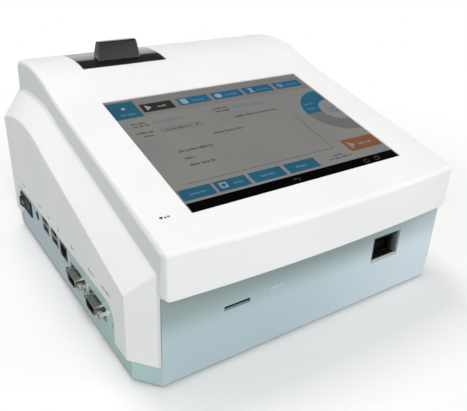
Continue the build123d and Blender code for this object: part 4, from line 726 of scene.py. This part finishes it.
def makeCopiesTree():
    # sets one small part on every point, turned as asked
    tree, given = newTree("copies on points", "Geometry", [
        ("Geometry", "Geometry"), ("Part", "Object"), ("Turn", "Vector"), ("Finish", "Material")],
        [("Geometry", "Geometry")])
    points = addNode(tree, "GeometryNodeMeshToPoints", (-560, 120), {"Mesh": given["Geometry"]})
    part = addNode(tree, "GeometryNodeObjectInfo", (-560, -120), {"Object": given["Part"]}).outputs["Geometry"]
    return endTree(tree, given, {"Points": points, "Instance": part, "Rotation": given["Turn"]})


def makeScatterTree():
    # strews small board parts over a flat face, each with its own size and quarter turn
    tree, given = newTree("parts on a board", "Geometry", [
        ("Geometry", "Geometry"), ("Spacing", "Float"), ("Density", "Float"), ("Seed", "Int"),
        ("Smallest", "Vector"), ("Largest", "Vector"), ("Finish", "Material")], [("Geometry", "Geometry")])
    strewn = addNode(tree, "GeometryNodeDistributePointsOnFaces", (-700, 160), {
        "Mesh": given["Geometry"], "Distance Min": given["Spacing"], "Density Max": given["Density"],
        "Seed": given["Seed"]}, distribute_method="POISSON")
    cube = addNode(tree, "GeometryNodeMeshCube", (-900, -80), {"Size": (1, 1, 1)})
    stood = addNode(tree, "GeometryNodeTransform", (-700, -80), {"Geometry": cube, "Translation": (0, 0, 0.5)})
    size = addNode(tree, "FunctionNodeRandomValue", (-700, -300), {
        0: given["Smallest"], 1: given["Largest"], "Seed": given["Seed"]}, data_type="FLOAT_VECTOR")
    quarter = addNode(tree, "FunctionNodeRandomValue", (-700, -560), {
        4: 0, 5: 3, "Seed": given["Seed"]}, data_type="INT")
    angle = addMath(tree, "MULTIPLY", (-500, -560), quarter, math.pi / 2)
    turn = addNode(tree, "CombineXYZ", (-300, -560), {"Z": angle})
    return endTree(tree, given, {"Points": strewn, "Instance": stood, "Scale": size, "Rotation": turn})


copiesTree = makeCopiesTree()
scatterTree = makeScatterTree()


def runTree(name, mesh, tree, values):
    obj = addObject(name, mesh)
    modifier = obj.modifiers.new(tree.name, "NODES")
    modifier.node_group = tree
    for item in tree.interface.items_tree:
        if item.item_type == "SOCKET" and item.in_out == "INPUT" and item.name in values:
            modifier[item.identifier] = values[item.name]
    keepResult(obj)
    return obj


def setCopies(name, part, places, material, turn=(0, 0, 0)):
    points = bpy.data.meshes.new(name + " places")
    points.from_pydata([tuple(c * mm for c in place) for place in places], [], [])
    template = addObject(name + " part", part)
    obj = runTree(name, points, copiesTree, {"Part": template, "Turn": turn, "Finish": material})
    bpy.data.objects.remove(template)
    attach(obj, "case")


def span(name):
    # lower corner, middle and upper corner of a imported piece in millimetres
    low, high = ([v / mm for v in corner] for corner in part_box(name))
    return low, [(a + b) / 2 for a, b in zip(low, high)], high


def inRow(count, pitch):
    # equal steps about the middle of a row
    return [(i - (count - 1) / 2) * pitch for i in range(count)]


# sockets in the port panel: pins, tongues, wires and lamps. What is turned faces out of the left side

outward = (0, math.radians(-90), 0)
serialPins = {"profile": [(0, -0.4), (0.45, -0.4), (0.45, 3.1), (0.315, 3.45), (0, 3.6)], "inset": 5.0,
              "pitch": 2.77, "rows": 2.84, "across": (5, 4)}


def makeSerialPins():
    v = serialPins
    places = []
    for port in ("serial_port_rear", "serial_port_front"):
        low, middle, high = span(port)
        for row, count in enumerate(v["across"]):
            z = middle[2] + v["rows"] * (0.5 - row)
            places += [(low[0] + v["inset"], middle[1] + step, z) for step in inRow(count, v["pitch"])]
    part = meshFrom("serial pin", turned, v["profile"], 12)
    setCopies("serial_pins", part, places, finish["gold"], outward)


usbTongue = {"inset": 1.25, "reach": 10.6, "half": 5.5, "thick": 1.86, "below": 7.8, "lift": 0.95, "pitch": 7.8,
             "round": 0.25}
usbContact = {"from": 0.5, "half": 0.5, "length": 7.0, "thick": 0.12, "sunk": 0.02, "spots": (-3.5, -1.0, 1.0, 3.5)}


def makeUsbTongues():
    v, c = usbTongue, usbContact
    places, contacts = [], []
    for stack in ("usb_stack_rear", "usb_stack_front"):
        low, middle, high = span(stack)
        for step in inRow(2, v["pitch"]):
            x, y, z = low[0] + v["inset"], middle[1], high[2] - v["below"] + step + v["lift"]
            places.append((x, y, z))
            contacts += [(x + c["from"], y + spot, z - v["thick"] / 2) for spot in c["spots"]]
    part = addObject("usb tongue", meshFrom(
        "usb tongue", brick, 0, v["reach"], -v["half"], v["half"], -v["thick"] / 2, v["thick"] / 2))
    softEdges(part, v["round"])
    setCopies("usb_tongues", part.data, places, finish["black"])
    bpy.data.objects.remove(part)
    blade = meshFrom("usb blade", brick, 0, c["length"], -c["half"], c["half"], -c["thick"], c["sunk"])
    setCopies("usb_contacts", blade, contacts, finish["gold"])


lanWire = {"count": 8, "pitch": 1.02, "thick": 0.22, "half": 0.21, "below": 2.5, "from": 1.6, "run": 9.5, "drop": 2.6}
lanLamp = {"half": 1.1, "rise": 0.85, "proud": 0.12, "sunk": 0.4, "side": 4.6, "below": 1.1}


def makeLanDetails():
    v, c = lanWire, lanLamp
    low, middle, high = span("lan_jack")
    slope = [(v["from"], 0), (v["run"], -v["drop"]), (v["run"], -v["drop"] - v["thick"]), (v["from"], -v["thick"])]
    wire = meshFrom("network wire", addPrism, slope, -v["half"], v["half"], onEdge)
    places = [(low[0], middle[1] + step, high[2] - v["below"]) for step in inRow(v["count"], v["pitch"])]
    setCopies("network_contacts", wire, places, finish["gold"])
    lamp = meshFrom("network lamp", brick, -c["proud"], c["sunk"], -c["half"], c["half"], -c["rise"], c["rise"])
    for colour, side in (("green", -c["side"]), ("amber", c["side"])):
        setCopies("network_lamp_" + colour, lamp, [(low[0], middle[1] + side, high[2] - c["below"])],
                  finish[colour + "Lamp"])


jackParts = {"below": 4.5, "linerInset": 0.1, "capInset": 1.2,
             "liner": [(3.18, -0.25), (2.9, -0.25), (2.9, -8.0), (3.18, -8.0)],
             "cap": [(0, -7.2), (1.06, -7.2), (1.06, 0.1), (0.848, 0.45), (0, 0.55)]}


def makeJackDetails():
    v = jackParts
    low, middle, high = span("dc_jack")
    y, z = middle[1], high[2] - v["below"]
    liner = meshFrom("jack liner", turned, v["liner"], 40, True)
    setCopies("jack_liner", liner, [(low[0] + v["linerInset"], y, z)], finish["nickel"], outward)
    cap = meshFrom("jack pin cap", turned, v["cap"], 20)
    setCopies("jack_pin_cap", cap, [(low[0] + v["capInset"], y, z)], finish["nickel"], outward)


makeSerialPins()
makeUsbTongues()
makeLanDetails()
makeJackDetails()
print("socket details made")


# dark crosses in the screw heads, painted shade in place of their cross recesses, set from each head's middle and the
# way it faces

screwHeads = {
    "case": {"arm": 1.75, "half": 0.42, "turn": (math.pi, 0, 0),
             "at": [(x, y, 3.1) for x in (-131, 131) for y in (-91, 126)]},
    "board": {"arm": 1.35, "half": 0.32, "turn": (0, 0, 0),
              "at": [(x, y, 21.8) for x in (-82.5, -34.5) for y in (-72, 84)]
              + [(x, y, 26.8) for x in (47.7, 107.9) for y in (-103, 32)]},
    "printer": {"arm": 1.35, "half": 0.32, "turn": (math.pi, 0, 0),
                "at": [(x, y, 133.4) for x in (-95.03, -4.63) for y in (83.7, 114.5)]},
}
screwCross = {"deep": -0.5, "proud": 0.02}


def makeScrewRecessShadows():
    for name, v in screwHeads.items():
        arm, half = v["arm"], v["half"]
        cross = [(half, half), (half, arm), (-half, arm)]
        for quarter in range(3):
            cross += [(-y, x) for x, y in cross[-3:]]
        part = meshFrom(name + " cross", addPrism, cross, screwCross["deep"], screwCross["proud"], level)
        setCopies(name + "_screw_recesses", part, v["at"], finish["recess"], v["turn"])


# parts on the main board, clear of its sockets, its heat sink and its screws

boardParts = {
    "top": 20.2,
    "chips": [(-62, -34, 14, 14, 1.4), (-100, -46, 10, 18, 1.1), (-62, -58, 8, 12, 1),
              (-104, -20, 7, 7, 0.9)],
    "leg": {"pitch": 1.27, "free": 1.2, "root": -0.2, "reach": 1.1, "half": 0.21, "low": -0.1, "thick": 0.16,
            "lift": 0.1},
    "cans": [(-104, 66), (-94, 66), (-94, 54)],
    "can": [(0, -0.1), (3.9, -0.1), (3.9, 1.4), (3.627, 1.8), (3.9, 2.2), (3.9, 9.1), (3.51, 9.5), (0, 9.5)],
    "sockets": [(-44, 66, 6, 22, 7.5), (-44, 34, 6, 14, 7.5)],
    "strewn": [(-80, -20, -42, 4), (-116, -8, -92, 46), (-78, 50, -56, 78)], "sunk": 0.05,
    "spacing": 0.0032, "density": 60000.0, "seed": 11,
    "smallest": (0.0010, 0.0005, 0.0004), "largest": (0.0026, 0.0014, 0.0011),
}


def makeBoxes(name, boxes, foot, soft, material):
    # boxes on the board with softened edges, each by its middle, two sides and height
    top = boardParts["top"]

    def build(bm):
        for x, y, wide, long, high in boxes:
            brick(bm, x - wide / 2, x + wide / 2, y - long / 2, y + long / 2, top + foot, top + high)

    softEdges(finishPiece(name, build, "case", material), soft)


def makeBoardParts():
    v = boardParts
    top, leg = v["top"], v["leg"]
    makeBoxes("board_chips", v["chips"], 0.12, 0.15, finish["chip"])
    lead = meshFrom("chip leg", brick, leg["root"], leg["reach"], -leg["half"], leg["half"], leg["low"], leg["thick"])
    for name, side, turn in (("chip_legs_right", 0.5, 0), ("chip_legs_left", -0.5, math.pi)):
        places = [(x + side * wide, y + step, top + leg["lift"]) for x, y, wide, long, high in v["chips"]
                  for step in inRow(int((long - leg["free"]) / leg["pitch"]), leg["pitch"])]
        setCopies(name, lead, places, finish["tin"], (0, 0, turn))
    can = meshFrom("capacitor can", turned, v["can"], 32)
    setCopies("board_capacitors", can, [(x, y, top) for x, y in v["cans"]], finish["aluminium"])
    makeBoxes("board_headers", v["sockets"], -0.1, 0.3, finish["gear"])
    fields = flatMesh("board_passives", v["strewn"], top - v["sunk"])
    small = runTree("board_passives", fields, scatterTree, {
        "Spacing": v["spacing"], "Density": v["density"], "Seed": v["seed"], "Smallest": v["smallest"],
        "Largest": v["largest"], "Finish": finish["passive"]})
    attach(small, "case")


# printed marks: bare signs and greeked words, no letters

ink = {"low": -0.02, "high": 0.02}
deckMarks = {"power": (-107.3, 22.6), "bulb": (-109.5, 22.3), "size": 1.0}
chipMarks = {"right": 21.3, "up": 2.6, "width": 3.4, "height": 3.8, "line": 0.42, "letters": (6.4, 17.6)}
portMarks = {"high": 52.7, "height": 3.0,
             "words": [(101, 4.5), (57, 2.8), (35, 2.4), (13, 2.2), (-17, 4.2), (-53, 5.4), (-78, 7)]}
rockerMarks = {"pivot": 5.4, "face": 5.4, "slope": 10.75, "turn": math.radians(8.0)}


def printMarks(name, outlines, place, material, body="case"):
    def build(bm):
        for outline in outlines:
            addPrism(bm, outline, ink["low"], ink["high"], place)
    finishPiece(name, build, body, material)


def makeDeckMark():
    # small power and bulb signs beside the status light
    u, back = deckMarks["power"]
    size = deckMarks["size"]
    away, up = deckMarks["bulb"][0] - u, (deckMarks["bulb"][1] - back) / math.cos(deck["tilt"])
    power = [band(0, 0, size * 0.42, size, 120.0, 420.0), rectangle(-0.16, 0.1, 0.16, size * 1.15)]
    bulb = [circle(away, up + 0.25, size * 0.8, 20), rectangle(away - 0.4, up - 1.0, away + 0.4, up - 0.65)]
    printMarks("deck_marks", power + bulb, onDeck(u, back), finish["markGrey"])


def makeChipMark():
    # card sign and a greeked word to the right of the code-chip slot
    v = chipMarks
    w, h = v["width"], v["height"]
    low, middle, high = span("chip_socket")
    card = stroke([(w * 0.3, 0), (w * 0.3, h), (w, h * 0.7), (w * 0.3, h * 0.45)], v["line"])
    place = flatOn((middle[0] + v["right"], deck["front"], middle[2] + v["up"] - h / 2),
                   (1, 0, 0), (0, 0, 1), (0, -1, 0))
    printMarks("chip_mark", [card] + wordBars(*v["letters"], 0.3, h * 0.8, 61), place, finish["markPale"])


def makePortMarks():
    # short greeked words on the skirt over the sockets, each given by its middle and half length
    v = portMarks
    outlines = []
    for index, (middle, half) in enumerate(v["words"]):
        outlines += wordBars(-middle - half, -middle + half, v["high"], v["height"], 70 + index)
    left = span("top_shell")[0][0]
    printMarks("port_marks", outlines, flatOn((left, 0, 0), (0, -1, 0), (0, 0, 1), (-1, 0, 0)), finish["markFaint"])


def makeRockerMarks():
    # bar and ring on the two slopes of the rocker
    v = rockerMarks
    low, middle, high = span("switch_housing")
    pivot = Vector((low[0] + v["pivot"], middle[1], middle[2]))
    turn = Matrix.Rotation(v["turn"], 3, "Z")

    def place(u, rise, lift):
        return (pivot + turn @ Vector((-v["face"] - abs(u) / v["slope"] - lift, -u, rise))) * mm

    shapes = [rectangle(5.9, -1.5, 6.3, 1.5), band(-6.1, 0, 1.1, 1.5, 90.25, 449.75)]
    printMarks("rocker_marks", shapes, place, finish["markWhite"], "rocker")


makeScrewRecessShadows()
makeBoardParts()
print("screw recess shadows and board parts made")
makeDeckMark()
makeChipMark()
makePortMarks()
makeRockerMarks()
print("marks printed")


# table, light and camera

def makeFloor():
    # pale table that turns to plain white for the camera further out, and is greyer to every other ray
    v = {"half": 3000.0, "low": -0.2, "fade": (0.20, 0.52), "shade": "#A9AEB0"}
    floor = addObject("studio_floor", flatMesh("studio_floor", [(-v["half"], -v["half"], v["half"], v["half"])],
                                               v["low"]))
    material, tree, shader, place = startMaterial("studio floor")
    drift = addGroup(tree, driftGroup, (-400, 0), place, drifting("#F9F9F8", "#F7F7F6", 2.0))
    seen = addNode(tree, "LightPath", (-400, 320)).outputs["Is Camera Ray"]
    setInputs(tree, shader, {"Base Color": addMix(tree, (200, 100), seen, v["shade"], drift), "Roughness": 0.9,
                             "Specular IOR Level": 0.1})
    away = addVectorMath(tree, "LENGTH", (-200, -240), place)
    fade = addRange(tree, (0, -240), away, *v["fade"], interpolation_type="SMOOTHSTEP")
    white = addNode(tree, "Emission", (600, -560), {"Color": (1, 1, 1, 1), "Strength": 1.0})
    mixed = addNode(tree, "MixShader", (900, -260), {
        0: addMath(tree, "MULTIPLY", (200, -240), fade, seen), 1: shader, 2: white})
    out = next(node for node in tree.nodes if node.type == "OUTPUT_MATERIAL")
    out.location = (1120, -260)
    setInputs(tree, out, {"Surface": mixed})
    floor.data.materials.append(material)


def makeWorld():
    # diffuse light is even; reflections see pale walls with a dim ceiling above; the camera sees white
    v = {"light": (1.0, 0.995, 0.99, 1.0), "strength": 0.39, "wall": (0.86, 0.86, 0.86, 1.0),
         "ceiling": (0.05, 0.05, 0.055, 1.0), "rise": (0.33, 0.36)}
    world = bpy.data.worlds.new("studio")
    scene.world = world
    world.use_nodes = True
    tree = world.node_tree
    tree.nodes.clear()
    path = addNode(tree, "LightPath", (-200, 360)).outputs
    where = addNode(tree, "TexCoord", (-700, -300)).outputs["Generated"]
    high = addNode(tree, "SeparateXYZ", (-500, -300), {0: where}).outputs["Z"]
    room = addMix(tree, (-80, -300), addRange(tree, (-300, -300), high, *v["rise"]), v["wall"], v["ceiling"])
    lit = addNode(tree, "Background", (160, -60), {"Color": v["light"], "Strength": v["strength"]})
    shine = addNode(tree, "Background", (160, -200), {"Color": room, "Strength": 1.0})
    seen = addNode(tree, "Background", (400, -200), {"Color": (1, 1, 1, 1), "Strength": 1.0})
    inner = addNode(tree, "MixShader", (400, 0), {0: path["Is Glossy Ray"], 1: lit, 2: shine})
    mixed = addNode(tree, "MixShader", (660, 0), {0: path["Is Camera Ray"], 1: inner, 2: seen})
    addNode(tree, "OutputWorld", (900, 0), {"Surface": mixed})


lamps = {
    "key": {"at": (-0.59, -1.36, 1.70), "to": (0.0, 0.0, 0.08), "size": (0.95, 0.95), "power": 17.4},
    "front": {"at": (-0.70, -1.90, 0.38), "to": (0.0, 0.0, 0.06), "size": (0.90, 0.50), "power": 9.2},
    "right": {"at": (1.05, -0.95, 0.36), "to": (0.10, -0.10, 0.03), "size": (0.50, 0.40), "power": 3.9},
    "rear": {"at": (-1.30, 0.80, 0.55), "to": (-0.10, 0.05, 0.06), "size": (0.60, 0.50), "power": 4.0},
    "top": {"at": (-0.10, 0.72, 1.86), "to": (0.0, 0.0, 0.08), "size": (0.80, 0.80), "power": 11.8},
}


def makeLamps():
    for name, values in lamps.items():
        data = bpy.data.lights.new(name, "AREA")
        data.shape = "RECTANGLE"
        data.size, data.size_y = values["size"]
        data.energy = values["power"]
        lamp = addObject(name, data)
        at, to = Vector(values["at"]), Vector(values["to"])
        lamp.location = at
        lamp.rotation_euler = (to - at).to_track_quat("-Z", "Y").to_euler()


def makeCamera():
    view = {"at": (-0.25228, -0.37805, 0.28692), "azimuth": -34.89, "elevation": 28.12, "roll": -2.48,
            "lens": 45.51, "sensor": 36.0, "near": 0.01}
    a, e, r = (math.radians(view[key]) for key in ("azimuth", "elevation", "roll"))
    away = Vector((math.sin(a) * math.cos(e), -math.cos(a) * math.cos(e), math.sin(e)))
    right = (-away).cross(Vector((0, 0, 1))).normalized()
    up = right.cross(-away)
    turnedRight = math.cos(r) * right - math.sin(r) * up
    turnedUp = math.cos(r) * up + math.sin(r) * right
    data = bpy.data.cameras.new("photo_camera")
    data.sensor_width, data.lens, data.clip_start = view["sensor"], view["lens"], view["near"]
    camera = addObject("photo_camera", data)
    camera.matrix_world = Matrix((*zip(turnedRight, turnedUp, away, view["at"]), (0, 0, 0, 1)))
    scene.camera = camera


makeFloor()
makeWorld()
makeLamps()
makeCamera()
scene.view_settings.view_transform = "Standard"
print("stage, lamps and camera made")
